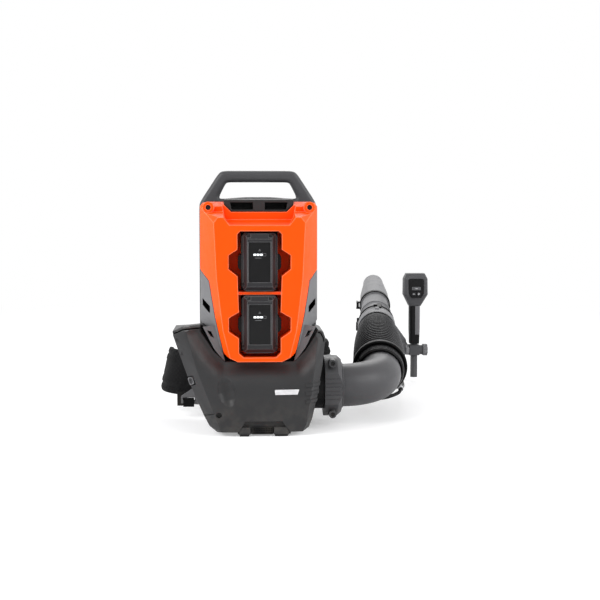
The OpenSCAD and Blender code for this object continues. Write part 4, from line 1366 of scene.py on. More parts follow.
@dataclass
class Batteries(SubAssembly):
    """The two slide-in batteries with their charge panels and latches."""

    segment: Pair = (5.4, 4.0)
    segment_corner: float = 0.8
    segment_pitch: float = 6.6
    segment_z: float = 15.4
    outline_gap: Pair = (1.2, 1.6)
    mark_rise: float = 9.4
    mark_outer: Outline = ((-2.6, -2.0), (2.6, -2.0), (0.0, 2.4))
    mark_inner: Outline = ((-1.5, -1.4), (1.5, -1.4), (0.0, 1.1))
    dash: Pair = (13.0, 1.1)
    dash_corner: float = 0.4
    dash_x: float = -3.0
    dash_drop: float = 6.6
    proud: float = 0.15
    sunk: float = 0.6
    edge: float = 0.1

    def build(self) -> None:
        """Builds both batteries."""
        for level in Level:
            body = f"{level.value}_battery"
            self.shaded(CASE, body, f"battery_{level.value}")
            self.soften(f"charge_panel_{level.value}", LABEL, body, 0.4)
            self.charge_lights(level, body)
            for side in Side:
                latch = f"{level.value}_{side.label}_latch"
                self.soften(f"latch_{level.value}_{side.label}", BLACK, latch, 1.0)

    def charge_lights(self, level: Level, body: str) -> None:
        """Three lit segments, the outline of the fourth and the key's mark over them.

        Args:
            level: Which battery.
            body: The body that they move with.
        """
        low, high = node_box(f"charge_panel_{level.value}")
        z = (low[2] + high[2]) / 2 + self.segment_z
        front = (low[1] - self.proud, low[1] + self.sunk)
        w, h = self.segment
        places = [(k * self.segment_pitch, z) for k in (-1.5, -0.5, 0.5, 1.5)]
        segments = [box_outline(place, self.segment, self.segment_corner) for place in places[:3]]
        lit = [plate_mesh("lit", segment, [], front, 0.15) for segment in segments]
        self.piece(f"lit_segments_{level.value}", outwards(joined(lit)), LIT, body)
        wider, higher = self.outline_gap
        outer = box_outline(places[3], (w + wider, h + higher), 1.6)
        inner = box_outline(places[3], (w, h + 0.4), 1.2)
        rise = [0, z + self.mark_rise]
        peak, opening = (np.asarray(loop) + rise for loop in (self.mark_outer, self.mark_inner))
        dash = box_outline((self.dash_x, z - self.dash_drop), self.dash, self.dash_corner)
        marks = [
            plate_mesh("rim", outer, [inner], front, self.edge),
            plate_mesh("mark", peak, [opening], front, self.edge),
            plate_mesh("dash", dash, [], front, self.edge),
        ]
        self.piece(f"panel_marks_{level.value}", outwards(joined(marks)), MARK, body)


@dataclass
class HandleFrame(SubAssembly):
    """Carrying handle and back frame in one moulding."""

    body: str = "backpack"
    half: float = 128.0
    handle_half: float = 81.0
    bar: float = 25.0
    shoulder_z: float = 482.0
    opening: float = 61.0
    rim: float = 9.0
    foot: Outline = ((60, 18), (70, 22))
    corner: float = 16.0
    grip_corner: float = 12.0
    window: Pair = (78.0, 68.0)
    windows: Outline = ((-52, 380), (52, 380), (-52, 290), (52, 290))
    intake: Triple = (-15.0, 104.0, 64.0)

    def build(self) -> None:
        """Builds the frame as one plate with rounded rims, its hand opening, windows and intake hole."""
        low, high = node_box("handle_frame")
        top, h = high[2], self.handle_half
        outer = rounded(mirrored([
            *self.foot, [self.half - 30, 60], [self.half, 150], [self.half, self.shoulder_z - 10],
            [self.half - 3, self.shoulder_z], [h + 4, top - 5], [h - 6, top],
        ]), self.corner, 7)
        grip = rounded(mirrored([
            [30, top - 57], [h, top - self.opening], [h + 4, top - 57], [h - 10, top - self.bar - 4],
            [h - 15, top - self.bar],
        ]), self.grip_corner, 7)
        holes = [box_outline(place, self.window, self.grip_corner) for place in self.windows]
        a = np.linspace(0, 2 * math.pi, 72, endpoint=False)
        x, z, r = self.intake
        holes.append(np.stack([x + r * np.cos(a), z + r * np.sin(a)], 1))
        mesh = outwards(plate_mesh("frame", outer, [grip, *holes], (low[1], high[1]), self.rim))
        made = self.piece("handle_and_frame", mesh, FRAME_GREY, self.body, "handle_frame")
        settle_normals(made)


class TubeFrame:
    """Places points that are given beside the tube's axis: x to the right, y down and s along it."""

    bend_s = 230.0

    def __init__(self) -> None:
        """Takes the axis from the hose's and the nozzle's joints; bend_s is where the hose's lies on it."""
        joints = {joint["name"]: joint for joint in frame["joints"]}
        self.along = np.asarray(joints["nozzle_slide"]["axis"], float)
        swivel = np.asarray(joints["elbow_swivel"]["axis"], float)
        down = np.cross(self.along, swivel)
        self.down = down / np.linalg.norm(down)
        self.right = np.cross(self.down, self.along)
        bend = np.asarray(joints["hose_bend"]["pos_m"], float) / MM
        self.start = bend - self.bend_s * self.along
        self.swivel = np.asarray(joints["elbow_swivel"]["pos_m"], float) / MM

    def place(self, points: Points) -> Points:
        """Moves points from the tube's frame to the machine's."""
        axes = np.stack([self.right, self.down, self.along])
        return self.start + points @ axes

    def ring(self, profile: Sequence[Sequence[float]]) -> Points:
        """Turns a profile of radius and distance along the tube about its axis."""
        return self.place(turned(np.asarray(profile, float)))


@dataclass(frozen=True)
class RibbedHose:
    """A ribbed hose's sizes.

    Attributes:
        span: Where it starts and ends along the tube.
        radii: Outer radius at the start and at the end.
        ribs: Number of ribs.
        grooves: Depth of the first groove and of the last.
        wall: Thickness under the grooves.
        bulge: Over 1, the hose stays wide for longer.
        samples: Points per rib.
    """

    span: Pair
    radii: Pair
    ribs: int
    grooves: Pair
    wall: float
    bulge: float = 1.0
    samples: int = 8

    def profile(self) -> tuple[Points, Points]:
        """Its closed profile.

        Outside, the radius is R(f) - D(f) (0.5 + 0.5 cos(2 pi n f))^0.9, with
        R(f) = r0 + (r1 - r0) f^bulge and D going straight from d0 to d1; inside, it is plain.

        Returns:
            Radius and distance of each point, and its height on its rib from 0 to 1.
        """
        f = np.linspace(0, 1, self.ribs * self.samples + 1)
        base = self.radii[0] + (self.radii[1] - self.radii[0]) * f**self.bulge
        groove = (0.5 + 0.5 * np.cos(2 * math.pi * self.ribs * f)) ** 0.9
        depth = self.grooves[0] + (self.grooves[1] - self.grooves[0]) * f
        s = self.span[0] + (self.span[1] - self.span[0]) * f
        outer = np.stack([base - depth * groove, s], 1)
        inner = np.stack([base - depth - self.wall, s], 1)[:: self.samples * 2][::-1]
        return np.vstack([outer, inner]), np.append(1 - groove, np.zeros(len(inner)))


@dataclass
class BlowTube(SubAssembly):
    """Collar, elbow, hoses, clamp, pipe and nozzle."""

    elbow_r: float = 46.0
    elbow_bend: float = 96.0
    elbow_wall: float = 3.0
    elbow_lip: Pair = (1.5, 2.0)
    parting_at: Pair = (166.0, 346.0)
    parting: Pair = (0.5, 0.02)
    elbow_band: Triple = (1.4, 1.6, 24.0)
    stop_seat: Outline = ((49.0, 0.3), (49.0, 3.2), (47.8, 4.0), (46.2, 4.0), (46.2, 0.3))
    stop_back: float = 2.0
    bend_x: float = 177.0
    elbow_in: float = 104.0
    elbow_tail: float = 56.0
    cuff_s: float = 48.0
    cuff_r: float = 62.5
    cuff_l: float = 11.7
    cuff_bore: float = 54.5
    wide: RibbedHose = RibbedHose((14, 58), (54, 54), 4, (3.2, 3.2), 2.4)
    slim: RibbedHose = RibbedHose((57, 120), (50, 50), 6, (2.4, 2.4), 1.4)
    hose: RibbedHose = RibbedHose((60.0, 400.0), (61.0, 46.0), 20, (8.0, 4.2), 1.0, 2.8, 12)
    hose_reach: float = 140.0
    stub_s: float = 380.0
    stub_r: float = 40.0
    clamp_s: float = 450.0
    bell_r: float = 49.0
    sleeve_r: float = 45.0
    seat_s: Pair = (556.0, 560.0)
    pipe_end: float = 735.0
    pipe_r: float = 37.0
    pipe_wall: float = 2.4
    nozzle_s: float = 680.0
    nozzle_l: float = 300.0
    mouth_r: float = 30.0
    cable_r: float = 4.0
    cable_run: Route = (
        (387.5, 641.6, 86.9), (385.5, 613.6, 82.9), (376, 560, 78), (368, 500, 72), (361, 440, 66),
        (356, 380, 60), (352, 320, 54), (349, 260, 50), (342, 205, 50), (334, 165, 54), (327, 133, 56),
    )
    cable_loop: Route = (
        (334, 165, 54), (327, 133, 56), (318, 112, 49), (292, 98, 42), (262, 88, 40), (232, 76, 40),
        (204, 66, 38), (178, 60, 38), (154, 55, 40), (136, 52, 43), (124, 50, 46),
    )
    cable_free: int = 4
    cable_fixed: int = -2
    tube: TubeFrame = field(default_factory=TubeFrame)

    def build(self) -> None:
        """Builds the tube from the collar to the nozzle."""
        self.shaded(FRAME_GREY, "backpack", "outlet_collar")
        self.elbow()
        self.hoses()
        self.soften("cable_clip", STEEL, "elbow_end", 0.3)
        self.cable()
        self.soften("hose_clamp", BLACK, "blow_tube", 0.8)
        self.pipe()
        self.bell_tab()
        self.nozzle()
        self.shaded(PIPE, "blow_tube", "handle_bracket")
        self.soften("lock_ring", BLACK, "nozzle_end", 0.8)
        self.soften("lock_lever", BLACK, "ring_lever", 0.5)

    def elbow_path(self) -> Points:
        """Centre line: straight out of the collar, a quarter turn and a short straight end.

        The turn is c + R (sin a, 1 - cos a) in the plane that X and the tube's axis span.

        Returns:
            The line's points.
        """
        out = np.array([1.0, 0.0, 0.0])
        back = np.cross(out, self.tube.down)
        origin = np.array([0.0, *self.tube.swivel[1:]])
        turn = math.atan2(self.tube.along @ back, self.tube.along @ out)
        a = np.linspace(0, turn, 60)[:, None]
        ahead = out * (self.bend_x + self.elbow_bend * np.sin(a))
        arc = origin + ahead + back * self.elbow_bend * (1 - np.cos(a))
        inner = origin + out * np.linspace(self.elbow_in, self.bend_x, 12, endpoint=False)[:, None]
        tail = self.tube.start + self.tube.along * np.linspace(0, self.elbow_tail, 12)[1:, None]
        return np.vstack([inner, arc, tail])

    def elbow(self) -> None:
        """The elbow: a round section with two parting lines and a band, rolled in at both ends.

        A line or the band adds its height times exp(-(distance / width)^2) to the radius, and the
        lip at an end takes the same from it.
        """
        path = self.elbow_path()
        a = np.linspace(0, 2 * math.pi, ROUND_STEPS, endpoint=False)
        distance = np.concatenate([[0], np.cumsum(np.linalg.norm(np.diff(path, axis=0), axis=1))])
        run = distance[-1]
        lip_h, lip_w = self.elbow_lip
        lip = lip_h * np.exp(-((np.minimum(distance, run - distance) / lip_w) ** 2))
        line_h, line_w = self.parting
        seams = [np.abs(a - math.radians(angle)) for angle in self.parting_at]
        parting = line_h * np.exp(-((np.minimum(*seams) / line_w) ** 2))
        outer_r = self.elbow_r - lip[:, None] + parting[None, :]
        band_h, band_w, band_back = self.elbow_band
        outer_r += band_h * np.exp(-(((distance - (run - band_back)) / band_w) ** 2))[:, None]
        inner_r = np.full_like(outer_r, self.elbow_r - self.elbow_wall)
        rim = np.stack([np.cos(a), np.sin(a)], 1)
        up = -self.tube.down
        outer = carried(path, rim[None] * outer_r[..., None], up)
        inner = carried(path, rim[None] * inner_r[..., None], up)[::-1]
        mesh = outwards(grid_mesh("elbow", np.vstack([outer, inner]), loop=True))
        self.piece("elbow_moulding", mesh, FRAME_GREY, "elbow_end", "elbow")
        self.stop_ring()

    def stop_ring(self) -> None:
        """The ring on the elbow's straight end that stops it at the collar."""
        ring = turned(rounded(self.stop_seat, 0.8))
        origin = np.array([self.bend_x - self.stop_back, *self.tube.swivel[1:]])
        ring = origin + np.stack([ring[..., 2], ring[..., 0], ring[..., 1]], 2)
        mesh = outwards(grid_mesh("stop_ring", ring, loop=True))
        self.piece("elbow_stop_ring", mesh, FRAME_GREY, "elbow_end")

    def hoses(self) -> None:
        """The inner hose, its cuff and the outer bellows, which bends about the hose's joint."""
        wide = self.ribbed("wide", *self.wide.profile())
        self.piece("inner_hose_wide", wide, HOSE, "elbow_end", "inner_hose")
        slim = self.ribbed("slim", *self.slim.profile())
        self.piece("inner_hose_slim", slim, HOSE, "elbow_end")
        r, s = self.cuff_r, self.cuff_s
        band = r - 6.5
        cuff = rounded([
            [r - 5, s], [r, s], [r, s + self.cuff_l], [band, s + self.cuff_l], [band, s + 6],
            [self.cuff_bore, s + 6], [self.cuff_bore, s + 3], [band, s + 3],
        ], 1.6)
        mesh = outwards(grid_mesh("cuff", self.tube.ring(cuff), loop=True))
        self.piece("hose_cuff_band", mesh, BLACK, "elbow_end", "hose_cuff")
        mesh = self.ribbed("bellows", *self.hose.profile())
        bellows = self.piece("bellows_hose", mesh, HOSE, "elbow_end", "bellows", ride=False)
        self.bend_with_hose(bellows)

    def ribbed(self, name: str, wall: Points, crest: Points) -> bpy.types.Mesh:
        """Carries a hose's profile round the tube and keeps each point's height on its rib.

        Args:
            name: The mesh's name.
            wall: The closed profile, radius and distance along the tube.
            crest: Height of each profile point on its rib, from 0 to 1.

        Returns:
            The mesh, with the heights in its crest attribute.
        """
        grid = self.tube.ring(wall)
        mesh = grid_mesh(name, grid, loop=True)
        heights = np.repeat(crest, grid.shape[1]).astype(np.float32)
        mesh.attributes.new("crest", "FLOAT", "POINT").data.foreach_set("value", heights)
        return outwards(mesh)

    def bend_with_hose(self, made: bpy.types.Object) -> None:
        """Lets a piece bend between the elbow's end and the tube, about the middle of the hose.

        Args:
            made: The piece.
        """
        middle = (self.hose.span[0] + self.hose.span[1]) / 2
        ends = [self.tube.start + self.tube.along * (middle + way * self.hose_reach) for way in (-1, 1)]
        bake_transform(made, "elbow_end", "blow_tube", start=tuple(ends[0] * MM), end=tuple(ends[1] * MM))

    def cable(self) -> None:
        """The control cable, in two lengths that meet at the clip: each bends across one joint."""
        across = oval(2 * self.cable_r, 2 * self.cable_r, 20, 1.0)
        names = ("control_cable_run", "control_cable_loop")
        for name, route in zip(names, (self.cable_run, self.cable_loop)):
            path = smooth_path(route, 8)
            tube = grid_mesh(name, carried(path, across))
            stands_for = ("control_cable",) if name == names[0] else ()
            made = self.piece(name, outwards(tube), HOSE, "elbow_end", *stands_for, ride=False)
            if name == names[0]:
                self.bend_with_hose(made)
            else:
                ends = (self.cable_free, self.cable_fixed)
                free, fixed = (np.asarray(self.cable_loop[k], float) for k in ends)
                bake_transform(made, "backpack", "elbow_end", start=tuple(fixed * MM), end=tuple(free * MM))

    def turned_tube(self, name: str, profile: Points) -> bpy.types.Mesh:
        """A closed profile turned about the tube's axis.

        Args:
            name: The mesh's name.
            profile: Radius and distance along the tube.

        Returns:
            The mesh.
        """
        return outwards(grid_mesh(name, self.tube.ring(profile), loop=True))

    def pipe(self) -> None:
        """The pipe: a stub in the hose, a bell over its end, a sleeve, and a tube with a raised seat."""
        r, wall, clamp = self.pipe_r, self.pipe_wall, self.clamp_s
        low, high = self.seat_s
        profile = rounded([
            [self.stub_r - wall, self.stub_s], [self.stub_r, self.stub_s], [self.stub_r, clamp - 10],
            [self.bell_r - wall, clamp - 10], [self.bell_r - wall, clamp - 47], [self.bell_r, clamp - 47],
            [self.bell_r, clamp - 6], [self.sleeve_r, clamp - 6], [self.sleeve_r, clamp + 36],
            [r + 1, clamp + 42], [r, low - 1], [r + 2, low], [r + 2, high], [r, high], [r, self.pipe_end],
            [r - wall, self.pipe_end], [r - wall, clamp + 30], [self.stub_r - wall, clamp],
        ], 0.8)
        self.piece("pipe_tube", self.turned_tube("pipe", profile), PIPE, "blow_tube", "pipe")

    def bell_tab(self) -> None:
        """The small tab on top of the bell, a section that is drawn in a little at both ends."""
        tab = [[-5, -self.bell_r - 3], [5, -self.bell_r - 3], [6, -self.bell_r + 1], [-6, -self.bell_r + 1]]
        section = rounded(tab, 1.6, 4)
        rows = self.clamp_s - np.array([22, 21.6, 6.4, 6])[:, None]
        size = np.array([0.9, 1, 1, 0.9])[:, None, None]
        middle = section.mean(0)
        flat = middle + (section[None] - middle) * size
        grid = np.concatenate([flat, np.broadcast_to(rows[:, None], (*flat.shape[:2], 1))], 2)
        mesh = outwards(grid_mesh("tab", self.tube.place(grid)))
        self.piece("bell_tab", mesh, PIPE, "blow_tube")

    def nozzle(self) -> None:
        """The nozzle: a straight sleeve on the pipe, a cone and a rolled mouth."""
        n, bore, m, length = self.nozzle_s, self.pipe_r + 0.5, self.mouth_r, self.nozzle_l
        wall = self.pipe_wall
        profile = rounded([
            [bore, n], [bore + wall, n], [bore + wall, n + 120], [m + 0.4, n + length - 20],
            [m + 0.4, n + length - 4], [m, n + length], [m - wall, n + length], [m - wall, n + length - 18],
            [bore, n + 118],
        ], 1.2)
        self.piece("nozzle_tube", self.turned_tube("nozzle", profile), PIPE, "nozzle_end", "nozzle")


@dataclass
class ControlHandle(SubAssembly):
    """The upright control handle with its clamp, trigger and keypad."""

    mark_size: float = 6.0
    mark_width: float = 1.4
    mark_y: Pair = (-0.15, 0.3)

    def build(self) -> None:
        """Builds the handle."""
        self.shaded(GRILLE, "clamp_knob", "handle_knob")
        self.shaded(FRAME_GREY, "handle", "handle_tube")
        self.shaded(GRIP, "handle", "grip")
        self.shaded(FRAME_GREY, "handle", "control_head")
        self.shaded(BLACK, "handle", "keypad")
        self.soften("power_button", KEY, "power_key", 0.6)
        self.soften("minus_button", DARK_KEY, "minus_key", 0.6)
        self.soften("plus_button", DARK_KEY, "plus_key", 0.6)
        self.key_marks()
        self.soften("throttle_trigger", BLACK, "trigger", 0.8)
        self.soften("cruise_lever", BLACK, "cruise_control", 0.8)

    def key_marks(self) -> None:
        """A light bar on the power and minus keys and a light cross on the plus key, as thin plates."""
        for sign, crossed in (("power", False), ("minus", False), ("plus", True)):
            low, high = node_box(f"{sign}_button")
            x, z = (low[0] + high[0]) / 2, (low[2] + high[2]) / 2
            depth = (low[1] + self.mark_y[0], low[1] + self.mark_y[1])
            bars = [(self.mark_size, self.mark_width)] + [(self.mark_width, self.mark_size)] * crossed
            plates = [plate_mesh("bar", box_outline((x, z), size, 0.2), [], depth, 0.1) for size in bars]
            self.piece(f"{sign}_mark", outwards(joined(plates)), WHITE_MARK, f"{sign}_key")


@dataclass
class Harness(SubAssembly):
    """Back pad, shoulder straps and hip belt."""

    body: str = "backpack"
    strap_t: float = 12.5
    strap_w: float = 62.0
    strap_rise: float = 7.3
    hip_t: float = 13.0
    hip_h: float = 104.0
    hip_gap: float = 6.2
    hip_channel: float = 17.0
    seam: float = 3.2
    channel_w: Triple = (6.0, 4.5, 3.0)
    channel_d: float = 8.0
    channel_x: Pair = (62.0, 8.0)
    strap_route: Route = (
        (58, -1, 400), (60, 10, 442), (66, 44, 462), (72, 82, 446), (78, 108, 404), (84, 118, 356),
        (90, 116, 304), (96, 102, 256), (98, 76, 216), (96, 40, 192), (90, 8, 186), (84, -1, 186),
    )
    strap_quilt: float = 20.0
    left_route: Route = (
        (-92, 0, 96), (-126, 2, 97), (-152, 12, 98), (-176, 28, 98), (-196, 52, 98), (-206, 84, 98),
        (-208, 120, 98), (-202, 150, 98),
    )
    right_route: Route = (
        (92, 0, 104), (122, 3, 108), (142, 15, 112), (156, 37, 114), (163, 65, 114), (164, 100, 114),
        (160, 134, 112), (152, 162, 110),
    )
    left_up: Triple = (0.22, 0.0, 1.0)
    right_up: Triple = (-0.12, 0.0, 1.0)

    def build(self) -> None:
        """Builds the harness."""
        self.back_pad()
        for side in Side:
            self.shoulder_strap(side)
        self.hip_pad(Side.LEFT, self.left_route, self.left_up)
        self.hip_pad(Side.RIGHT, self.right_route, self.right_up)
        self.shaded(GRILLE, self.body, "hip_brackets")
        self.soften("hip_webbing", WEBBING, self.body, 0.5)
        self.soften("buckle", BLACK, self.body, 1.0)

    def back_pad(self) -> None:
        """The back pad: rows of squarish ovals that shrink to the ends, drawn in along its channels.

        Down the pad the half width is w(v) (1 - |v|^6)^0.22 and the thickness t (1 - |v|^6)^0.35,
        and a channel draws the surface in by d exp(-(distance / width)^2).
        """
        low, high = node_box("back_pad")
        rows, sides = 96, 120
        v = np.linspace(-1, 1, rows)
        fullness = np.maximum(1 - np.abs(v) ** 6, 1e-4)
        lean = np.interp(v, [-1, -0.8, 0.85, 1], [88, 106, 98, 84])
        half = lean * fullness**0.22
        thick = (high[1] - low[1] - 3) * fullness**0.35
        tall = high[2] - low[2]
        z = low[2] + (v + 1) / 2 * tall
        ring = oval(2, 1, sides, 0.35)
        x = ring[None, :, 0] * half[:, None]
        lift = (ring[None, :, 1] + 0.5) * thick[:, None]
        zs = np.broadcast_to(z[:, None], x.shape)
        spine, cross, flank = self.channel_w
        flank_x, flank_lean = self.channel_x
        gaps = [np.abs(x) / spine]
        gaps += [np.abs(zs - low[2] - tall * k / 3) / cross for k in (1, 2)]
        gaps += [np.abs(np.abs(x) - flank_x - flank_lean * v[:, None]) / flank]
        nearest = np.minimum.reduce(gaps)
        front = ring[None, :, 1] > 0.1
        lift = lift - np.where(front, self.channel_d * np.exp(-(nearest**2)), 0)
        grid = np.stack([x, low[1] + np.maximum(lift, 0), zs], 2)
        mesh = outwards(grid_mesh("back_pad", grid))
        made = self.piece("back_pad_cushion", mesh, MESH_CLOTH, self.body, "back_pad")
        held = np.where(front, np.exp(-(nearest**2) * 2), 1).reshape(-1)
        puff(made, held, 5.0)

    def shoulder_strap(self, side: Side) -> None:
        """A padded strap that leaves the pad, arches over the shoulder and comes back under the arm.

        Args:
            side: The side that it is on.
        """
        y = node_box("back_pad")[1][1] + self.strap_rise
        route = np.asarray(self.strap_route, float) + [0, y, 0]
        path = smooth_path(route * [side.value, 1, 1], 9)
        n = len(path)
        taper = np.interp(np.linspace(0, 1, n), [0, 0.66, 0.95, 1], [1, 1, 0.5, 0.5])
        ends = np.maximum(1 - np.abs(np.linspace(-1, 1, n)) ** 24, 0.04)[:, None]
        section = oval(self.strap_t, self.strap_w, 48, 0.42)
        across = section[None, :, 1] * taper[:, None]
        quilt = np.abs(np.abs(across) - self.strap_quilt * taper[:, None])
        seams = np.minimum.reduce([quilt, np.abs(across)]) / self.seam
        thick = section[None, :, 0] * ends - np.sign(section[None, :, 0]) * 1.8 * np.exp(-(seams**2))
        grid = carried(path, np.stack([thick, across], 2), (1, 0, 0))
        mesh = outwards(grid_mesh("strap", grid))
        name = f"shoulder_pad_{side.label}"
        made = self.piece(name, mesh, STRAP_CLOTH, self.body, f"shoulder_strap_{side.label}")
        rim = np.abs(across) > self.strap_w * 0.46 * taper[:, None]
        held = np.maximum(np.exp(-(seams**2)), rim).reshape(-1)
        puff(made, held, 2.5, 2.0)
        self.bindings(f"strap_binding_{side.label}", path, taper * (self.strap_w / 2 - 0.5))
        self.strap_webbing(side, path)

    def bindings(self, name: str, path: Points, offset: Points) -> None:
        """Edge tape down both sides of a strap.

        Args:
            name: The piece's name.
            path: The strap's centre line.
            offset: Distance from it to the edge at each point.
        """
        tapes = []
        for edge in (-1, 1):
            section = oval(4.4, 2.4, 10, 0.8)[None] + np.stack([0 * offset, edge * offset], 1)[:, None]
            tapes.append(grid_mesh("tape", carried(path, section, (1, 0, 0))))
        self.piece(name, outwards(joined(tapes)), WEBBING, self.body)

    def strap_webbing(self, side: Side, path: Points) -> None:
        """The webbing that runs down the outside of a strap, with its slide adjuster.

        Args:
            side: The side that the strap is on.
            path: The strap's centre line.
        """
        n = len(path)
        first, last = int(n * 0.42), n - 3
        part = path[first:last]
        flat = oval(1.6, 25, 16, 0.25) + [-self.strap_t / 2 - 0.6, 0]
        strip = grid_mesh("strip", carried(part, flat[None] * np.ones((len(part), 1, 1)), (1, 0, 0)))
        self.piece(f"strap_webbing_{side.label}", outwards(strip), WEBBING, self.body)
        spot = slice(int(n * 0.74), int(n * 0.74) + 5)
        frame_section = oval(4.2, 34, 20, 0.3) + [-self.strap_t / 2 - 2.2, 0]
        slide = grid_mesh("slide", carried(path[spot], frame_section, (1, 0, 0)))
        made = self.piece(f"strap_slide_{side.label}", outwards(slide), BLACK, self.body)
        settle_normals(made)

    def hip_pad(self, side: Side, route: Route, up: Triple) -> None:
        """A quilted hip pad that curls round from the frame, with a webbing belt along it.

        Args:
            side: The side that it is on.
            route: Its centre line, with Y from the bracket's back.
            up: Direction from its lower edge to its upper one.
        """
        y = node_box("hip_brackets")[1][1] + self.hip_gap
        path = smooth_path(np.asarray(route, float) + [0, y, 0], 12)
        n = len(path)
        share = np.linspace(0, 1, n)
        height = np.interp(share, [0, 0.78, 1], [1, 0.98, 0.72])
        ends = (np.maximum(1 - np.abs(2 * share - 1) ** 16, 0.03) ** 0.4)[:, None]
        section = oval(self.hip_t, self.hip_h - 2, 72, 0.38)
        across = section[None, :, 1] * height[:, None] * (0.25 + 0.75 * ends)
        seams = np.minimum.reduce([np.abs(across - k * self.hip_channel) for k in range(-2, 3)]) / self.seam
        thick = section[None, :, 0] * ends - np.sign(section[None, :, 0]) * 2.2 * ends * np.exp(-(seams**2))
        grid = carried(path, np.stack([thick, across], 2), up)
        mesh = outwards(grid_mesh("hip", grid))
        made = self.piece(f"hip_cushion_{side.label}", mesh, MESH_CLOTH, self.body, f"hip_pad_{side.label}")
        rim = np.abs(across) > self.hip_h * 0.45 * height[:, None]
        held = np.maximum(np.exp(-(seams**2)), rim).reshape(-1)
        puff(made, held, 2.5, 2.0)
        belt = path[2:-2]
        flat = oval(1.8, 38, 16, 0.25) + [-side.value * (self.hip_t / 2 + 0.4), 0]
        mesh = outwards(grid_mesh("belt", carried(belt, flat, up)))
        self.piece(f"hip_belt_{side.label}", mesh, WEBBING, self.body)


# ---------------------------------------------------------------------------------------------
# Studio
# ---------------------------------------------------------------------------------------------


@dataclass(frozen=True)
class Softbox:
    """A square lamp that faces the machine, with lengths in metres and its power in watts.

    Attributes:
        name: The lamp's name.
        place: Where it hangs.
        side: Its side.
        power: Its power.
        gloss: Whether it shows in glossy surfaces; a low lamp would glare on level ones.
        aim: The point that it faces.
    """

    name: str
    place: Triple
    side: float
    power: float
    gloss: bool = True
    aim: Triple = (0.05, 0.1, 0.28)

    def hang(self) -> None:
        """Hangs the lamp."""
        data = bpy.data.lights.new(self.name, "AREA")
        data.size = self.side
        data.energy = self.power
        lamp = bpy.data.objects.new(self.name, data)
        lamp.location = self.place
        lamp.visible_glossy = self.gloss
        way = Vector(self.aim) - Vector(self.place)
        lamp.rotation_euler = way.to_track_quat("-Z", "Y").to_euler()
        bpy.context.scene.collection.objects.link(lamp)


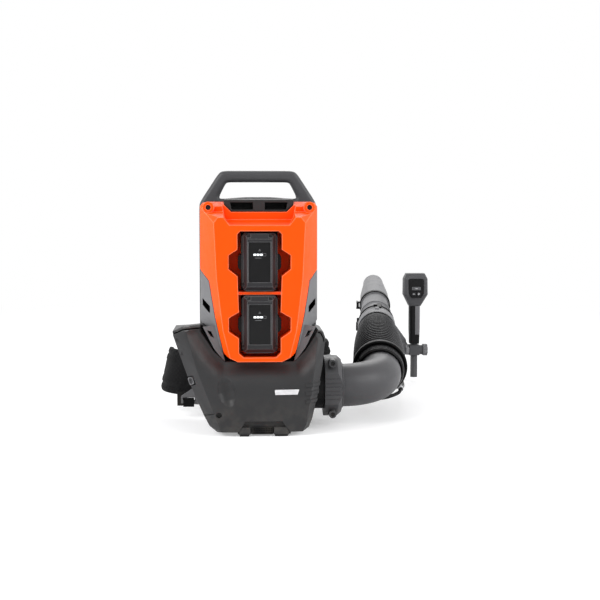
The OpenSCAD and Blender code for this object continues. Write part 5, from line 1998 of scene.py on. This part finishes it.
@dataclass
class Studio:
    """A pale floor, soft lamps and the camera, with places in metres and turns in degrees."""

    eye: Triple = (-0.043, -2.430, 0.463)
    lens: float = 68.25
    tilt: float = 4.53
    turn: float = 3.1
    ambient: float = 0.45
    floor_tone: Colour = (236, 236, 237)
    floor_glow: float = 0.34
    floor_reach: float = 60.0
    floor_shades: Pair = (0.86, 0.9)
    fade: Pair = (1.3, 3.2)
    lamps: tuple[Softbox, ...] = (
        Softbox("key_softbox", (-2.2, -1.9, 2.3), 1.8, 62),
        Softbox("fill_softbox", (2.4, -1.5, 1.7), 1.8, 34),
        Softbox("back_softbox", (0.4, 2.9, 2.6), 2.2, 40),
        Softbox("left_softbox", (-2.6, -0.5, 0.8), 1.5, 58, gloss=False),
        Softbox("right_softbox", (2.6, -0.5, 0.8), 1.5, 52, gloss=False),
    )

    def build(self) -> None:
        """Builds the whole studio."""
        self.camera()
        self.floor()
        self.world()
        for lamp in self.lamps:
            lamp.hang()

    def camera(self) -> None:
        """Places the camera at the eye, turned to the right and tilted down."""
        data = bpy.data.cameras.new("camera")
        data.lens = self.lens
        data.sensor_width = 36
        seen = bpy.data.objects.new("camera", data)
        seen.location = self.eye
        seen.rotation_euler = (math.radians(90 - self.tilt), 0, math.radians(-self.turn))
        bpy.context.scene.collection.objects.link(seen)
        bpy.context.scene.camera = seen

    def floor(self) -> None:
        """Lays a wide floor: pale for light that bounces, and for the eye white with soft shadows.

        What the eye sees is a glow plus a matt floor near the machine, and a plain white glow
        far from it.
        """
        reach = self.floor_reach
        mesh = bpy.data.meshes.new("floor")
        corners = [(-reach, -reach, 0), (reach, -reach, 0), (reach, reach, 0), (-reach, reach, 0)]
        mesh.from_pydata(corners, [], [(0, 1, 2, 3)])
        bench = Bench(bpy.data.materials.new("studio_floor"))
        cloud = bench.noise(260, 3)
        plain = bench.node("ShaderNodeBsdfDiffuse", {}, {"Color": linear(self.floor_tone)}).outputs[0]
        shades = [linear(self.floor_tone, gain) for gain in self.floor_shades]
        matt_tone = bench.blend(*shades, cloud)
        matt = bench.node("ShaderNodeBsdfDiffuse", {}, {"Color": matt_tone}).outputs[0]
        glow = bench.node("ShaderNodeEmission", {}, {"Strength": self.floor_glow}).outputs[0]
        near = bench.node("ShaderNodeAddShader", {}, {0: matt, 1: glow}).outputs[0]
        white = bench.node("ShaderNodeEmission", {}, {"Strength": 1.0}).outputs[0]
        x, y = bench.axis("X"), bench.axis("Y")
        far = (x * x + y * y).power(0.5).between(*self.fade)
        seen = bench.node("ShaderNodeMixShader", {}, {0: far, 1: near, 2: white}).outputs[0]
        eye = bench.shade("ShaderNodeLightPath", {}, {}, "Is Camera Ray")
        shown = bench.node("ShaderNodeMixShader", {}, {0: eye, 1: plain, 2: seen}).outputs[0]
        bench.close(shown)
        mesh.materials.append(bench.owner)
        made = bpy.data.objects.new("floor", mesh)
        bpy.context.scene.collection.objects.link(made)

    def world(self) -> None:
        """Shows white to the eye, to gloss and to glass, and lights at the ambient level."""
        world = bpy.data.worlds.new("studio")
        bench = Bench(world, "ShaderNodeOutputWorld")
        rays = bench.node("ShaderNodeLightPath", {}, {}).outputs
        most = {"operation": "MAXIMUM"}
        seen = bench.shade("ShaderNodeMath", most, {0: rays["Is Camera Ray"], 1: rays["Is Transmission Ray"]})
        clear = bench.shade("ShaderNodeMath", most, {0: seen, 1: rays["Is Glossy Ray"]})
        level = bench.shade("ShaderNodeMapRange", {}, {"Value": clear, "To Min": self.ambient}, "Result")
        bench.close(bench.node("ShaderNodeBackground", {}, {"Color": WHITE, "Strength": level}).outputs[0])
        bpy.context.scene.world = world


def main() -> None:
    """Builds the studio and every sub-assembly in order."""
    logging.basicConfig(level=logging.INFO, format="%(name)s: %(message)s")
    bpy.context.scene.view_settings.view_transform = "Standard"
    Studio().build()
    parts = (HandleFrame, UpperBody, LowerHousing, FanUnit, Batteries, BlowTube, ControlHandle, Harness)
    for part in parts:
        part().build()


if __name__ == "__main__":
    main()
